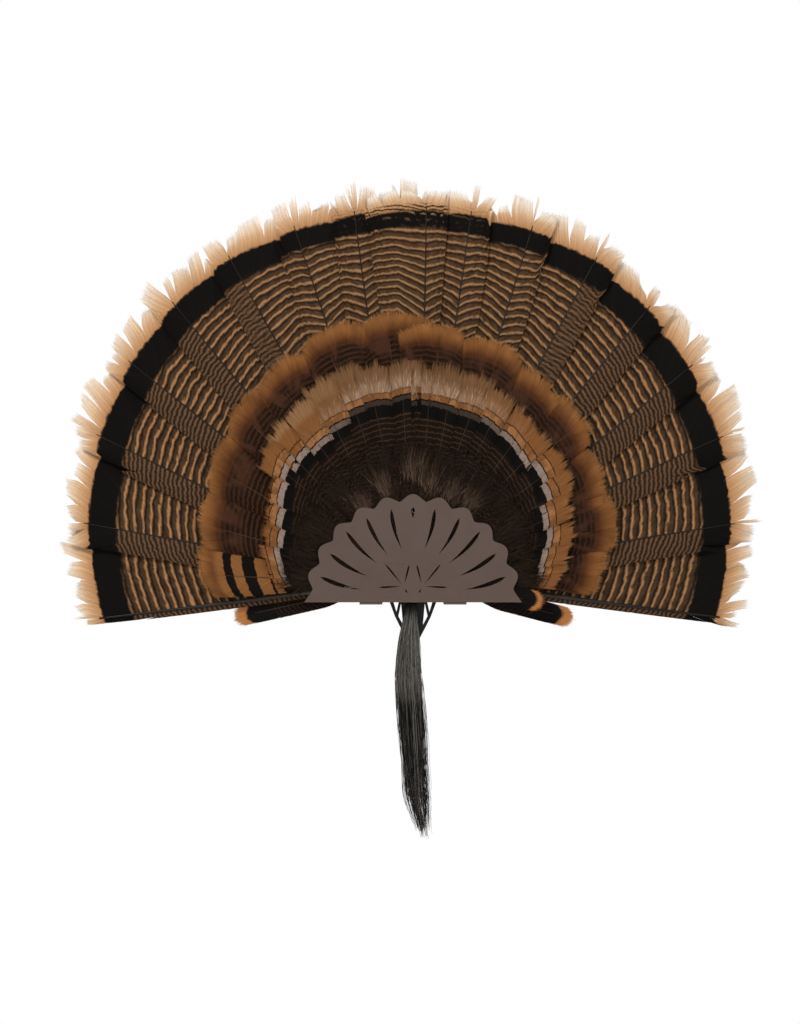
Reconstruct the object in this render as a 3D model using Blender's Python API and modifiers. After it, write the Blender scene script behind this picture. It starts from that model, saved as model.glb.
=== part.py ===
"""Wall-hung turkey tail fan with a swinging beard, held in a two-plate steel bracket.

Metres, +Z up, the display side faces -Y and the wall is the plane Y = 0.
The origin lies on the rear face of the back plate, the face that meets the wall.
Depths below are distances in front of the wall, so a point at depth d has Y = -d.
"""
import math

import bmesh
import bpy
from mathutils import Matrix, Vector

MM = 0.001
FIT = 0.3 * MM                       # clearance between pieces that touch

# Bracket plates
PLATE_THICKNESS = 2.0 * MM
PLATE_BASE_Z = -50.0 * MM            # straight lower edge of the front plate
FRONT_PLATE_DEPTH = 40.0 * MM        # rear face of the front plate
LOBE_COUNT = 11
LOBE_PITCH = math.radians(15.0)
LOBE_TIP_RADIUS = 112.3 * MM
LOBE_NOTCH_RADIUS = 105.0 * MM
LOBE_FULLNESS = 0.7                  # under 1 makes the lobes wide and the notches narrow
LOBE_POINTS = 12
CORNER_HALF_WIDTH = 113.0 * MM
CORNER_WAIST = (106.2 * MM, -40.5 * MM)
BACK_PLATE_RADIUS = 92.0 * MM
BACK_PLATE_START = math.radians(2.0)  # where its round edge begins, above the base line
BACK_PLATE_BASE_Z = -48.7 * MM
RIM_STEPS = 28

# Slots cut in the front plate: start and end as (x, z) in millimetres, right-hand side
FEATHER_SLOTS = [
    ((96.3, -23.5), (53.6, -36.8), 2.2),
    ((86.4, 0.6), (47.6, -22.8), 2.2),
    ((69.8, 23.8), (37.5, -9.4), 2.0),
    ((48.4, 37.9), (26.7, -0.2), 2.0),
    ((22.8, 47.0), (11.9, 5.4), 2.0),
]
CENTRE_SLOT = ((0.0, 48.8), (0.0, 37.2), 1.8)
TRACK_TOES = [
    ((35.4, -34.5), (12.4, -33.5), 0.9),
    ((28.8, -10.2), (11.6, -31.5), 0.9),
    ((3.9, -11.0), (8.8, -30.4), 0.9),
    ((6.3, -40.0), (8.2, -36.0), 0.8),
]
SLOT_POINTS = 8                      # points along each side of a slot
SLOT_BOW = 0.045                     # sideways bow as a share of the slot's length

# Ledge fingers under the front plate and ears for the hanger's trunnions
FINGER_X = 43.8 * MM
FINGER_WIDTH = 24.0 * MM
EAR_X = 28.5 * MM
EAR_REACH = 20.6 * MM
EAR_HALF_HEIGHT = 4.7 * MM
STEP_IN = 0.3 * MM                   # joined pieces of the back plate step in from its edges
JOIN_DEPTH = 0.5 * MM                # how far in front of the wall a joined piece starts
CUT_PAST = 1.0 * MM                  # how far a cutter runs past the face it opens

# Keyholes for two wall screws
KEYHOLE_X = 62.0 * MM
KEYHOLE_Z = -2.0 * MM
KEYHOLE_HEAD_RADIUS = 5.5 * MM
KEYHOLE_SLOT_RADIUS = 3.2 * MM
KEYHOLE_RISE = 12.0 * MM
ARC_STEPS = 6

# Clamp screws and standoffs as (x, z)
CLAMP_POINTS = {
    "left": (-38.0 * MM, -43.6 * MM),
    "centre": (0.0, -12.0 * MM),
    "right": (38.0 * MM, -43.6 * MM),
}
STANDOFF_RADIUS = 4.0 * MM
STANDOFF_BORE_DEPTH = 14.0 * MM
SCREW_RADIUS = 2.0 * MM
SCREW_HEAD_RADIUS = 4.0 * MM
SCREW_LENGTH = 14.0 * MM
SCREW_INSET = 0.1 * MM               # the countersunk heads lie just below the wall face

# Beard hanger: a flat V of steel whose two trunnions turn in the ears
TRUNNION_DEPTH = 16.5 * MM
TRUNNION_Z = -44.0 * MM
TRUNNION_RADIUS = 1.8 * MM
TRUNNION_SPAN = (23.0 * MM, 31.0 * MM)
HANGER_DEPTH = TRUNNION_DEPTH - PLATE_THICKNESS / 2
HANGER_HALF_OUTLINE = [
    (6.5, -39.4), (6.7, -46.4), (16.0, -46.6), (19.0, -41.2), (26.0, -41.0), (24.6, -49.6),
    (18.7, -65.5), (13.2, -76.5), (9.0, -84.3), (6.0, -90.5),
]
HANGER_WINDOWS = [
    [(14.6, -48.9), (20.6, -49.2), (17.2, -60.4)],
    [(12.4, -52.0), (15.2, -65.0), (10.4, -74.0)],
]

# Beard
PIVOT_Z = TRUNNION_Z
RIVET_RADIUS = 1.8 * MM
RIVET_HEAD_RADIUS = 3.4 * MM
RIVET_HEAD_HEIGHT = 1.4 * MM
RIVET_HEAD_BEVEL = 0.8 * MM
RIVET_INSET = 0.2 * MM               # the rivet ends just inside the hanger's rear face
CAP_DEPTH = (17.8 * MM, 26.6 * MM)
CAP_HALF_WIDTH = 5.4 * MM
CAP_Z = (-51.0 * MM, -39.6 * MM)
CAP_ROUNDING = 1.6 * MM
BEARD_SECTIONS = [
    # z, centre x, half width, centre depth, half depth, all in millimetres
    (-51.3, -1.6, 4.6, 22.3, 3.9),
    (-92.0, -4.4, 11.2, 24.4, 6.5),
    (-127.0, -5.2, 13.4, 20.0, 7.0),
    (-181.0, -2.2, 12.8, 15.8, 6.6),
    (-252.0, 4.1, 9.8, 14.6, 5.4),
    (-279.0, 9.4, 5.6, 14.6, 4.0),
    (-303.0, 15.0, 1.8, 14.6, 1.6),
]
BEARD_SIDES = 12

# Tail root and the quills that grow from it
ROOT_CENTRE = Vector((0.0, -25.0 * MM))
ROOT_DEPTH = 16.0 * MM
ROOT_HALF_WIDTH = 30.0 * MM
ROOT_RISE = 30.0 * MM
ROOT_FALL = 9.5 * MM
ROOT_HALF_DEPTH = 9.6 * MM
QUILL_HALF_WIDTH = 2.0 * MM

# The fan is crowned: its depth follows the distance from the root centre
FAN_RADIUS = 408.0 * MM
FAN_ROOT_DEPTH = 15.5 * MM
FAN_CROWN = 6.0 * MM
FAN_DROP = 3.0 * MM

# Tail feathers, from the middle outwards, as degrees from vertical
TAIL_DIRECTIONS = [2.0, 9.0, 18.7, 29.8, 41.0, 52.6, 65.5, 80.5, 97.3]
TAIL_TILT = 0.09                     # rise of depth across a feather, outwards
TAIL_ROOT_RADIUS = 34.0 * MM
TAIL_CENTRE_LIFT = 3.0 * MM
TIP_FALL_START = 30.0                # degrees from vertical where the feathers start to shorten
TIP_FALL = 58.0 * MM
TIP_FALL_POWER = 1.3
OUTER_VANE = 24.0 * MM
LOWEST_OUTER_VANE = 7.0 * MM
VANE_OVERLAP = 8.0 * MM
CENTRE_OUTER_VANE = 38.0 * MM
UNDER_CENTRE_SHARE = 0.08            # inner half-width of a centre feather, as a share of the
TOP_CENTRE_SHARE = 0.17              # distance from the root: the one below and the one on top

# Covert tiers in front of the tail feathers
GREATER_COUNT = 7                    # feathers on each side
GREATER_REACH = 270.0 * MM
GREATER_FALL = 62.0 * MM
GREATER_OFFSET = 7.4 * MM
LESSER_COUNT = 4
LESSER_REACH = 229.0 * MM
LESSER_FALL = 68.0 * MM
LESSER_OFFSET = 14.4 * MM
COVERT_SPREAD = 95.0                 # degrees from vertical of the lowest covert edge
COVERT_TILT = 0.06
COVERT_ROOT_RADIUS = 42.0 * MM
COVERT_CENTRE_LIFT = 1.6 * MM
COVERT_OUTER_VANE = 26.0 * MM
COVERT_FALL_POWER = 1.6

# Three short feathers at the lower corners: side, degrees from vertical, reach, offset from the fan
SIDE_COVERTS = {
    "side_covert_left": (-1, 102.6, 193.0 * MM, -6.4 * MM),
    "side_covert_right": (1, 104.4, 175.0 * MM, -6.4 * MM),
    "side_covert_right_upper": (1, 100.5, 140.0 * MM, 18.2 * MM),
}
SIDE_COVERT_HALF_WIDTH = 9.5 * MM
SIDE_COVERT_ROOT = 62.0 * MM

# Feather section
VANE_THICKNESS = 0.6 * MM
QUILL_THICKNESS = 3.4 * MM
RACHIS_SHARE = 0.32                  # rachis thickness in the vane, as a share of the quill's
COLUMNS = [-1.0, -0.5, 0.0, 0.5, 1.0]
TAIL_ROWS = 9
COVERT_ROWS = 6
TIP_ROUNDING = 0.10                  # corner drop at the tip, as a share of the vane's width
QUILL_THINS = (50.0 * MM, 80.0 * MM)  # distances between which the quill becomes the rachis
VANE_GROWS = (62.0 * MM, 122.0 * MM)  # distances between which the vane reaches its full width

# Down over the roots
FLUFF_RADIUS = (58.0 * MM, 124.0 * MM)
FLUFF_DEPTH = 38.5 * MM
FLUFF_THICKNESS = 2.2 * MM
FLUFF_SPREAD = math.radians(91.0)
FLUFF_STEPS = 26

COLOURS = {
    # base colour, roughness, metallic
    "powder_coat": ((0.127, 0.090, 0.072), 0.62, 0.0),
    "black_steel": ((0.012, 0.012, 0.013), 0.45, 0.0),
    "zinc": ((0.55, 0.55, 0.53), 0.35, 1.0),
    "tail_vane": ((0.165, 0.088, 0.040), 0.70, 0.0),
    "greater_covert": ((0.235, 0.095, 0.030), 0.65, 0.0),
    "lesser_covert": ((0.270, 0.140, 0.060), 0.68, 0.0),
    "down": ((0.030, 0.018, 0.012), 0.90, 0.0),
    "dried_root": ((0.120, 0.080, 0.050), 0.80, 0.0),
    "bristle": ((0.040, 0.040, 0.036), 0.55, 0.0),
}


# ---------------------------------------------------------------- scene and helpers

def clear_scene():
    for item in list(bpy.data.objects):
        bpy.data.objects.remove(item, do_unlink=True)


def new_collection(name):
    collection = bpy.data.collections.new(name)
    bpy.context.scene.collection.children.link(collection)
    return collection


def make_material(name):
    colour, roughness, metallic = COLOURS[name]
    material = bpy.data.materials.new(name)
    material.use_nodes = True
    shader = material.node_tree.nodes["Principled BSDF"]
    shader.inputs["Base Color"].default_value = (*colour, 1.0)
    shader.inputs["Roughness"].default_value = roughness
    shader.inputs["Metallic"].default_value = metallic
    return material


def add_object(name, data, collection, material=None):
    item = bpy.data.objects.new(name, data)
    collection.objects.link(item)
    if material is not None:
        data.materials.append(material)
    return item


def mesh_from_bmesh(name, bm):
    bmesh.ops.recalc_face_normals(bm, faces=bm.faces)
    mesh = bpy.data.meshes.new(name)
    bm.to_mesh(mesh)
    bm.free()
    return mesh


def box_mesh(name, low, high):
    bm = bmesh.new()
    bmesh.ops.create_cube(bm, size=1.0)
    size = [high[axis] - low[axis] for axis in range(3)]
    middle = [(high[axis] + low[axis]) / 2 for axis in range(3)]
    bmesh.ops.scale(bm, vec=size, verts=bm.verts)
    bmesh.ops.translate(bm, vec=middle, verts=bm.verts)
    return mesh_from_bmesh(name, bm)


def cone_mesh(name, start, end, start_radius, end_radius, segments=14):
    """A closed cylinder or cone whose axis runs from start to end."""
    start = Vector(start)
    end = Vector(end)
    axis = end - start
    turn = axis.to_track_quat("Z", "Y").to_matrix().to_4x4()
    place = Matrix.Translation((start + end) / 2) @ turn
    bm = bmesh.new()
    bmesh.ops.create_cone(bm, cap_ends=True, segments=segments, radius1=start_radius,
                          radius2=end_radius, depth=axis.length, matrix=place)
    return mesh_from_bmesh(name, bm)


def add_boolean(item, cutter, operation):
    modifier = item.modifiers.new(operation.lower(), "BOOLEAN")
    modifier.operation = operation
    modifier.solver = "EXACT"
    modifier.object = cutter


def add_cutter(name, mesh, cutters):
    cutter = add_object(name, mesh, cutters)
    cutter.hide_render = True
    cutter.display_type = "WIRE"
    return cutter


def smooth_round(mesh, angle=35.0):
    mesh.shade_smooth()
    mesh.set_sharp_from_angle(angle=math.radians(angle))


def flat_plate(name, outlines, depth, thickness, collection, material):
    """A plate in the XZ plane. The first outline is its edge and the others are holes."""
    curve = bpy.data.curves.new(name, "CURVE")
    curve.dimensions = "2D"
    curve.fill_mode = "BOTH"
    curve.extrude = thickness / 2
    for outline in outlines:
        spline = curve.splines.new("POLY")
        spline.points.add(len(outline) - 1)
        for point, (x, z) in zip(spline.points, outline):
            point.co = (x, z, 0.0, 1.0)
        spline.use_cyclic_u = True
    guide = add_object(name + "_curve", curve, collection)
    guide.rotation_euler = (math.radians(90.0), 0.0, 0.0)
    guide.location = (0.0, -(depth + thickness / 2), 0.0)
    bpy.context.view_layer.update()
    evaluated = guide.evaluated_get(bpy.context.evaluated_depsgraph_get())
    mesh = bpy.data.meshes.new_from_object(evaluated)
    bm = bmesh.new()
    bm.from_mesh(mesh)
    bmesh.ops.remove_doubles(bm, verts=bm.verts, dist=0.01 * MM)
    bmesh.ops.recalc_face_normals(bm, faces=bm.faces)
    bm.to_mesh(mesh)
    bm.free()
    mesh.materials.clear()
    plate = add_object(name, mesh, collection, material)
    plate.matrix_world = guide.matrix_world
    bpy.data.objects.remove(guide, do_unlink=True)
    return plate


def turned(name, profile, location, collection, material, steps=14):
    """A solid of revolution about Y. The profile lists (radius, height) from top to bottom."""
    bm = bmesh.new()
    ring = [bm.verts.new((radius, 0.0, height)) for radius, height in profile]
    for first, second in zip(ring, ring[1:]):
        bm.edges.new((first, second))
    mesh = bpy.data.meshes.new(name)
    bm.to_mesh(mesh)
    bm.free()
    item = add_object(name, mesh, collection, material)
    screw = item.modifiers.new("turn", "SCREW")
    screw.steps = steps
    screw.render_steps = steps
    screw.use_merge_vertices = True
    screw.merge_threshold = 0.01 * MM
    screw.use_smooth_shade = True
    item.rotation_euler = (math.radians(90.0), 0.0, 0.0)
    item.location = location
    return item


def mirrored(points):
    return [(-x, z) for x, z in reversed(points)]


def in_metres(points):
    return [(x * MM, z * MM) for x, z in points]


def arc(centre, radius, start, end, steps):
    """Points on an arc, angles in radians measured from +X towards +Z."""
    points = []
    for step in range(steps + 1):
        angle = start + (end - start) * step / steps
        points.append((centre[0] + radius * math.cos(angle), centre[1] + radius * math.sin(angle)))
    return points


def smoothstep(value, limits):
    """0 at the first limit, 1 at the second and an even S between them."""
    share = min(1.0, max(0.0, (value - limits[0]) / (limits[1] - limits[0])))
    return share * share * (3.0 - 2.0 * share)


# ---------------------------------------------------------------- bracket

def scalloped_edge():
    """The front plate's edge, anticlockwise from its lower left corner."""
    points = [(-CORNER_HALF_WIDTH, PLATE_BASE_Z), (CORNER_HALF_WIDTH, PLATE_BASE_Z), CORNER_WAIST]
    first = LOBE_PITCH / 2
    steps = LOBE_COUNT * LOBE_POINTS
    for step in range(steps + 1):
        angle = first + LOBE_COUNT * LOBE_PITCH * step / steps
        phase = 2.0 * math.pi * step / LOBE_POINTS
        rise = (0.5 - 0.5 * math.cos(phase)) ** LOBE_FULLNESS
        radius = LOBE_NOTCH_RADIUS + (LOBE_TIP_RADIUS - LOBE_NOTCH_RADIUS) * rise
        points.append((radius * math.cos(angle), PLATE_BASE_Z + radius * math.sin(angle)))
    points.append((-CORNER_WAIST[0], CORNER_WAIST[1]))
    return points


def slot_outline(outer, inner, half_width, bow):
    """A slim leaf: widest in its outer third, pointed at both ends and slightly bowed."""
    start = Vector(outer)
    run = Vector(inner) - start
    across = Vector((-run.y, run.x)).normalized()
    near_side = []
    far_side = []
    for step in range(1, SLOT_POINTS):
        share = step / SLOT_POINTS
        middle = start + run * share + across * (bow * run.length * math.sin(math.pi * share))
        width = half_width * math.sin(math.pi * share ** 0.6)
        near_side.append(tuple(middle + across * width))
        far_side.append(tuple(middle - across * width))
    return [tuple(outer)] + near_side + [tuple(inner)] + far_side[::-1]


def front_plate(parts, materials):
    outlines = [scalloped_edge()]
    for outer, inner, half_width in FEATHER_SLOTS + TRACK_TOES:
        bow = SLOT_BOW if half_width > 1.0 else 0.0
        leaf = in_metres(slot_outline(outer, inner, half_width, bow))
        outlines.append(leaf)
        outlines.append(mirrored(leaf))
    outlines.append(in_metres(slot_outline(*CENTRE_SLOT, 0.0)))
    flat_plate("front_plate", outlines, FRONT_PLATE_DEPTH, PLATE_THICKNESS, parts,
               materials["powder_coat"])


def keyhole(x):
    """Round entry below, narrow slot above."""
    half_mouth = math.asin(KEYHOLE_SLOT_RADIUS / KEYHOLE_HEAD_RADIUS)
    upright = math.pi / 2
    top = (x, KEYHOLE_Z + KEYHOLE_RISE)
    points = arc(top, KEYHOLE_SLOT_RADIUS, 0.0, math.pi, ARC_STEPS)
    points += arc((x, KEYHOLE_Z), KEYHOLE_HEAD_RADIUS, upright + half_mouth,
                  upright + 2.0 * math.pi - half_mouth, 2 * ARC_STEPS)
    return points


def back_plate_edge():
    """Half disc with two tabs at its lower edge, where the ledge fingers bend forwards."""
    finger_low = PLATE_BASE_Z - FIT - PLATE_THICKNESS + STEP_IN
    inner = FINGER_X - FINGER_WIDTH / 2
    outer = FINGER_X + FINGER_WIDTH / 2
    right = [(inner, BACK_PLATE_BASE_Z), (inner, finger_low), (outer, finger_low),
             (outer, BACK_PLATE_BASE_Z - STEP_IN)]
    rim = arc((0.0, PLATE_BASE_Z), BACK_PLATE_RADIUS, BACK_PLATE_START, math.pi - BACK_PLATE_START,
              RIM_STEPS)
    return mirrored(right) + right + rim


def back_plate(parts, cutters, materials):
    outlines = [back_plate_edge(), keyhole(-KEYHOLE_X), keyhole(KEYHOLE_X)]
    plate = flat_plate("back_plate", outlines, 0.0, PLATE_THICKNESS, parts, materials["powder_coat"])
    top = PLATE_BASE_Z - FIT
    reach = FRONT_PLATE_DEPTH + PLATE_THICKNESS
    for side, name in ((-1, "left"), (1, "right")):
        low = (side * FINGER_X - FINGER_WIDTH / 2 + STEP_IN, -reach, top - PLATE_THICKNESS)
        high = (side * FINGER_X + FINGER_WIDTH / 2 - STEP_IN, -JOIN_DEPTH, top)
        finger = add_cutter("finger_" + name, box_mesh("finger_" + name, low, high), cutters)
        add_boolean(plate, finger, "UNION")
        low = (side * EAR_X - PLATE_THICKNESS / 2, -EAR_REACH, TRUNNION_Z - EAR_HALF_HEIGHT)
        high = (side * EAR_X + PLATE_THICKNESS / 2, -JOIN_DEPTH, TRUNNION_Z + EAR_HALF_HEIGHT)
        ear = add_cutter("ear_" + name, box_mesh("ear_" + name, low, high), cutters)
        add_boolean(plate, ear, "UNION")
    reach = EAR_X + 2 * PLATE_THICKNESS
    mesh = cone_mesh("ear_hole", (-reach, -TRUNNION_DEPTH, TRUNNION_Z),
                     (reach, -TRUNNION_DEPTH, TRUNNION_Z), TRUNNION_RADIUS + FIT, TRUNNION_RADIUS + FIT)
    add_boolean(plate, add_cutter("ear_hole", mesh, cutters), "DIFFERENCE")
    slope = (SCREW_HEAD_RADIUS - SCREW_RADIUS) / PLATE_THICKNESS
    mouth = SCREW_HEAD_RADIUS + FIT + slope * CUT_PAST
    for name, (x, z) in CLAMP_POINTS.items():
        mesh = cone_mesh("countersink_" + name, (x, CUT_PAST, z),
                         (x, -PLATE_THICKNESS - CUT_PAST, z), mouth, SCREW_RADIUS + FIT)
        add_boolean(plate, add_cutter("countersink_" + name, mesh, cutters), "DIFFERENCE")


def clamp_hardware(parts, materials):
    """Countersunk screws from the rear into threaded standoffs on the front plate."""
    front = FRONT_PLATE_DEPTH - FIT
    rear = PLATE_THICKNESS + FIT
    bore = SCREW_RADIUS + FIT
    length = front - rear
    standoff = [(0.0, length), (STANDOFF_RADIUS, length), (STANDOFF_RADIUS, 0.0), (bore, 0.0),
                (bore, STANDOFF_BORE_DEPTH), (0.0, STANDOFF_BORE_DEPTH)]
    head = PLATE_THICKNESS
    screw = [(0.0, SCREW_LENGTH), (SCREW_RADIUS, SCREW_LENGTH), (SCREW_RADIUS, head),
             (SCREW_HEAD_RADIUS, SCREW_INSET), (0.0, SCREW_INSET)]
    for name, (x, z) in CLAMP_POINTS.items():
        turned("standoff_" + name, standoff, (x, -rear, z), parts, materials["zinc"])
        turned("clamp_screw_" + name, screw, (x, 0.0, z), parts, materials["zinc"])


# ---------------------------------------------------------------- beard and its hanger

def beard_hanger(parts, cutters, materials):
    right = in_metres(HANGER_HALF_OUTLINE)
    outlines = [right + mirrored(right)]
    for window in HANGER_WINDOWS:
        outlines.append(in_metres(window))
        outlines.append(mirrored(in_metres(window)))
    plate = flat_plate("beard_hanger", outlines, HANGER_DEPTH, PLATE_THICKNESS, parts,
                       materials["black_steel"])
    for side, name in ((-1, "left"), (1, "right")):
        start = (side * TRUNNION_SPAN[0], -TRUNNION_DEPTH, TRUNNION_Z)
        end = (side * TRUNNION_SPAN[1], -TRUNNION_DEPTH, TRUNNION_Z)
        mesh = cone_mesh("trunnion_" + name, start, end, TRUNNION_RADIUS, TRUNNION_RADIUS)
        add_boolean(plate, add_cutter("trunnion_" + name, mesh, cutters), "UNION")
    mesh = cone_mesh("rivet_hole", (0.0, -HANGER_DEPTH + CUT_PAST, PIVOT_Z),
                     (0.0, -HANGER_DEPTH - PLATE_THICKNESS - CUT_PAST, PIVOT_Z),
                     RIVET_RADIUS + FIT, RIVET_RADIUS + FIT)
    add_boolean(plate, add_cutter("rivet_hole", mesh, cutters), "DIFFERENCE")


def beard_rivet(parts, materials):
    start = HANGER_DEPTH + RIVET_INSET
    shaft = CAP_DEPTH[1] + FIT - start
    head = shaft + RIVET_HEAD_HEIGHT
    profile = [(0.0, head), (RIVET_HEAD_RADIUS - RIVET_HEAD_BEVEL, head),
               (RIVET_HEAD_RADIUS, head - RIVET_HEAD_BEVEL), (RIVET_HEAD_RADIUS, shaft),
               (RIVET_RADIUS, shaft), (RIVET_RADIUS, 0.0), (0.0, 0.0)]
    turned("beard_rivet", profile, (0.0, -start, PIVOT_Z), parts, materials["zinc"])


def beard_cap(parts, cutters, materials):
    """A crimped ferrule over the top of the beard, pivoting on the rivet."""
    low = (-CAP_HALF_WIDTH, -CAP_DEPTH[1], CAP_Z[0])
    high = (CAP_HALF_WIDTH, -CAP_DEPTH[0], CAP_Z[1])
    cap = add_object("beard_cap", box_mesh("beard_cap", low, high), parts, materials["black_steel"])
    bevel = cap.modifiers.new("rounded", "BEVEL")
    bevel.width = CAP_ROUNDING
    bevel.segments = 2
    mesh = cone_mesh("cap_hole", (0.0, -CAP_DEPTH[0] + CUT_PAST, PIVOT_Z),
                     (0.0, -CAP_DEPTH[1] - CUT_PAST, PIVOT_Z), RIVET_RADIUS + FIT, RIVET_RADIUS + FIT)
    add_boolean(cap, add_cutter("cap_hole", mesh, cutters), "DIFFERENCE")


def beard_bristles(parts, materials):
    """A loft through the elliptical sections of the bristle bundle."""
    bm = bmesh.new()
    rings = []
    for section in BEARD_SECTIONS:
        z, centre_x, half_width, depth, half_depth = [value * MM for value in section]
        ring = []
        for side in range(BEARD_SIDES):
            angle = 2.0 * math.pi * side / BEARD_SIDES
            x = centre_x + half_width * math.cos(angle)
            y = -depth + half_depth * math.sin(angle)
            ring.append(bm.verts.new((x, y, z)))
        rings.append(ring)
    for upper, lower in zip(rings, rings[1:]):
        for side in range(BEARD_SIDES):
            after = (side + 1) % BEARD_SIDES
            bm.faces.new((upper[side], upper[after], lower[after], lower[side]))
    bm.faces.new(rings[0])
    bm.faces.new(rings[-1])
    mesh = mesh_from_bmesh("beard_bristles", bm)
    smooth_round(mesh, 60.0)
    add_object("beard_bristles", mesh, parts, materials["bristle"])


# ---------------------------------------------------------------- fan

def tail_base(parts, cutters, materials):
    """The dried tail root, an oval lump with a hole for the centre standoff."""
    bm = bmesh.new()
    bmesh.ops.create_uvsphere(bm, u_segments=20, v_segments=12, radius=1.0)
    for vert in bm.verts:
        height = ROOT_RISE if vert.co.z > 0.0 else ROOT_FALL
        vert.co = (vert.co.x * ROOT_HALF_WIDTH, vert.co.y * ROOT_HALF_DEPTH, vert.co.z * height)
    mesh = mesh_from_bmesh("tail_base", bm)
    smooth_round(mesh)
    lump = add_object("tail_base", mesh, parts, materials["dried_root"])
    lump.location = (ROOT_CENTRE.x, -ROOT_DEPTH, ROOT_CENTRE.y)
    x, z = CLAMP_POINTS["centre"]
    mesh = cone_mesh("base_hole", (x, 0.0, z), (x, -FRONT_PLATE_DEPTH, z),
                     STANDOFF_RADIUS + FIT, STANDOFF_RADIUS + FIT)
    add_boolean(lump, add_cutter("base_hole", mesh, cutters), "DIFFERENCE")


def fan_depth(radius):
    share = radius / FAN_RADIUS
    return FAN_ROOT_DEPTH + FAN_CROWN * 4.0 * share * (1.0 - share) - FAN_DROP * share * share


def polar(degrees, radius):
    """A point at an angle from vertical and a distance from the root centre."""
    angle = math.radians(degrees)
    return ROOT_CENTRE + Vector((math.sin(angle), math.cos(angle))) * radius


def feather(name, side, root, tip, lean, widths, depth, rows, parts, material):
    """A vane with its quill: an open sheet between root and tip, thickened by Solidify.

    Its tip follows the fan's edge: an arc about the root centre that leans back outwards.
    widths gives the inner and outer half-widths at a distance from the root centre, and
    depth gives the depth at a distance from the centre and a signed distance across.
    """
    run = tip - root
    along = run.normalized()
    outward = Vector((along.y, -along.x)) * side
    bm = bmesh.new()
    bmesh.ops.create_grid(bm, x_segments=len(COLUMNS) - 1, y_segments=rows, size=1.0)
    order = sorted(bm.verts, key=lambda vert: (round(vert.co.y, 4), round(vert.co.x, 4)))
    weights = []
    for count, vert in enumerate(order):
        row, column = divmod(count, len(COLUMNS))
        share = row / rows
        across = COLUMNS[column]
        middle = root + run * share
        distance = (middle - ROOT_CENTRE).length
        inner, outer = widths(distance)
        offset = across * (outer if across > 0.0 else inner)
        corner = TIP_ROUNDING * (inner + outer) * across ** 4 * share ** 3
        setback = corner + offset * offset / (2.0 * distance) + lean * offset * share
        place = middle + outward * offset - along * setback
        vert.co = (place.x, -depth((place - ROOT_CENTRE).length, offset), place.y)
        quill = 1.0 - smoothstep(distance, QUILL_THINS)
        rachis = RACHIS_SHARE * (1.0 - share) if across == 0.0 else 0.0
        weights.append((vert, max(quill, rachis)))
    bm.verts.index_update()
    numbered = [(vert.index, weight) for vert, weight in weights]
    if side > 0:
        bmesh.ops.reverse_faces(bm, faces=bm.faces)
    mesh = bpy.data.meshes.new(name)
    bm.to_mesh(mesh)
    bm.free()
    mesh.shade_smooth()
    item = add_object(name, mesh, parts, material)
    group = item.vertex_groups.new(name="thickness")
    for index, weight in numbered:
        group.add([index], weight, "REPLACE")
    solidify = item.modifiers.new("thickness", "SOLIDIFY")
    solidify.thickness = QUILL_THICKNESS
    solidify.offset = 0.0
    solidify.vertex_group = group.name
    solidify.thickness_vertex_group = VANE_THICKNESS / QUILL_THICKNESS
    return item


def grown(inner, outer, distance):
    """Half-widths once the vane has grown out of the bare quill."""
    grow = smoothstep(distance, VANE_GROWS)
    return (max(QUILL_HALF_WIDTH, inner * grow), max(QUILL_HALF_WIDTH, outer * grow))


def tier_widths(gap_in, gap_out, outer_limit):
    """Half-widths that close the gap to the neighbours; gaps are angles in radians."""
    def widths(distance):
        outer = min(outer_limit, 0.5 * distance * gap_out)
        hidden = min(outer_limit, 0.5 * distance * gap_in)
        inner = distance * gap_in - hidden + min(VANE_OVERLAP, 0.5 * hidden)
        return grown(inner, outer, distance)
    return widths


def centre_widths(inner_share, gap_out):
    def widths(distance):
        return grown(inner_share * distance, min(CENTRE_OUTER_VANE, 0.5 * distance * gap_out),
                     distance)
    return widths


def layered_depth(offset, tilt):
    def depth(distance, across):
        return fan_depth(distance) + offset + tilt * across
    return depth


def edge_lean(reach_at, degrees):
    """How much the tier shortens for each metre outwards along its edge."""
    step = 1.0
    fall = reach_at(degrees - step) - reach_at(degrees + step)
    return fall / (2.0 * math.radians(step) * reach_at(degrees))


def tail_reach(degrees):
    fall = max(0.0, degrees - TIP_FALL_START) / (TAIL_DIRECTIONS[-1] - TIP_FALL_START)
    return FAN_RADIUS - TIP_FALL * fall ** TIP_FALL_POWER


def tail_feathers(parts, materials):
    """Each feather lies over its outer neighbour; the right centre one lies over them all."""
    count = len(TAIL_DIRECTIONS)
    root_pitch = (TAIL_DIRECTIONS[-1] - TAIL_DIRECTIONS[0]) / (count - 0.5)
    for side, name in ((-1, "left"), (1, "right")):
        for number, degrees in enumerate(TAIL_DIRECTIONS):
            on_top = number == 0 and side > 0
            last = number == count - 1
            gap_in = math.radians(degrees - TAIL_DIRECTIONS[number - 1])
            gap_out = gap_in if last else math.radians(TAIL_DIRECTIONS[number + 1] - degrees)
            if number == 0:
                widths = centre_widths(TOP_CENTRE_SHARE if on_top else UNDER_CENTRE_SHARE, gap_out)
            else:
                widths = tier_widths(gap_in, gap_out, LOWEST_OUTER_VANE if last else OUTER_VANE)
            depth = layered_depth(TAIL_CENTRE_LIFT, 0.0) if on_top else layered_depth(0.0, TAIL_TILT)
            root = polar(side * root_pitch * (number + 0.5), TAIL_ROOT_RADIUS)
            tip = polar(side * degrees, tail_reach(degrees))
            feather("tail_feather_%s_%d" % (name, number + 1), side, root, tip,
                    edge_lean(tail_reach, degrees), widths, depth, TAIL_ROWS, parts,
                    materials["tail_vane"])


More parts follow.
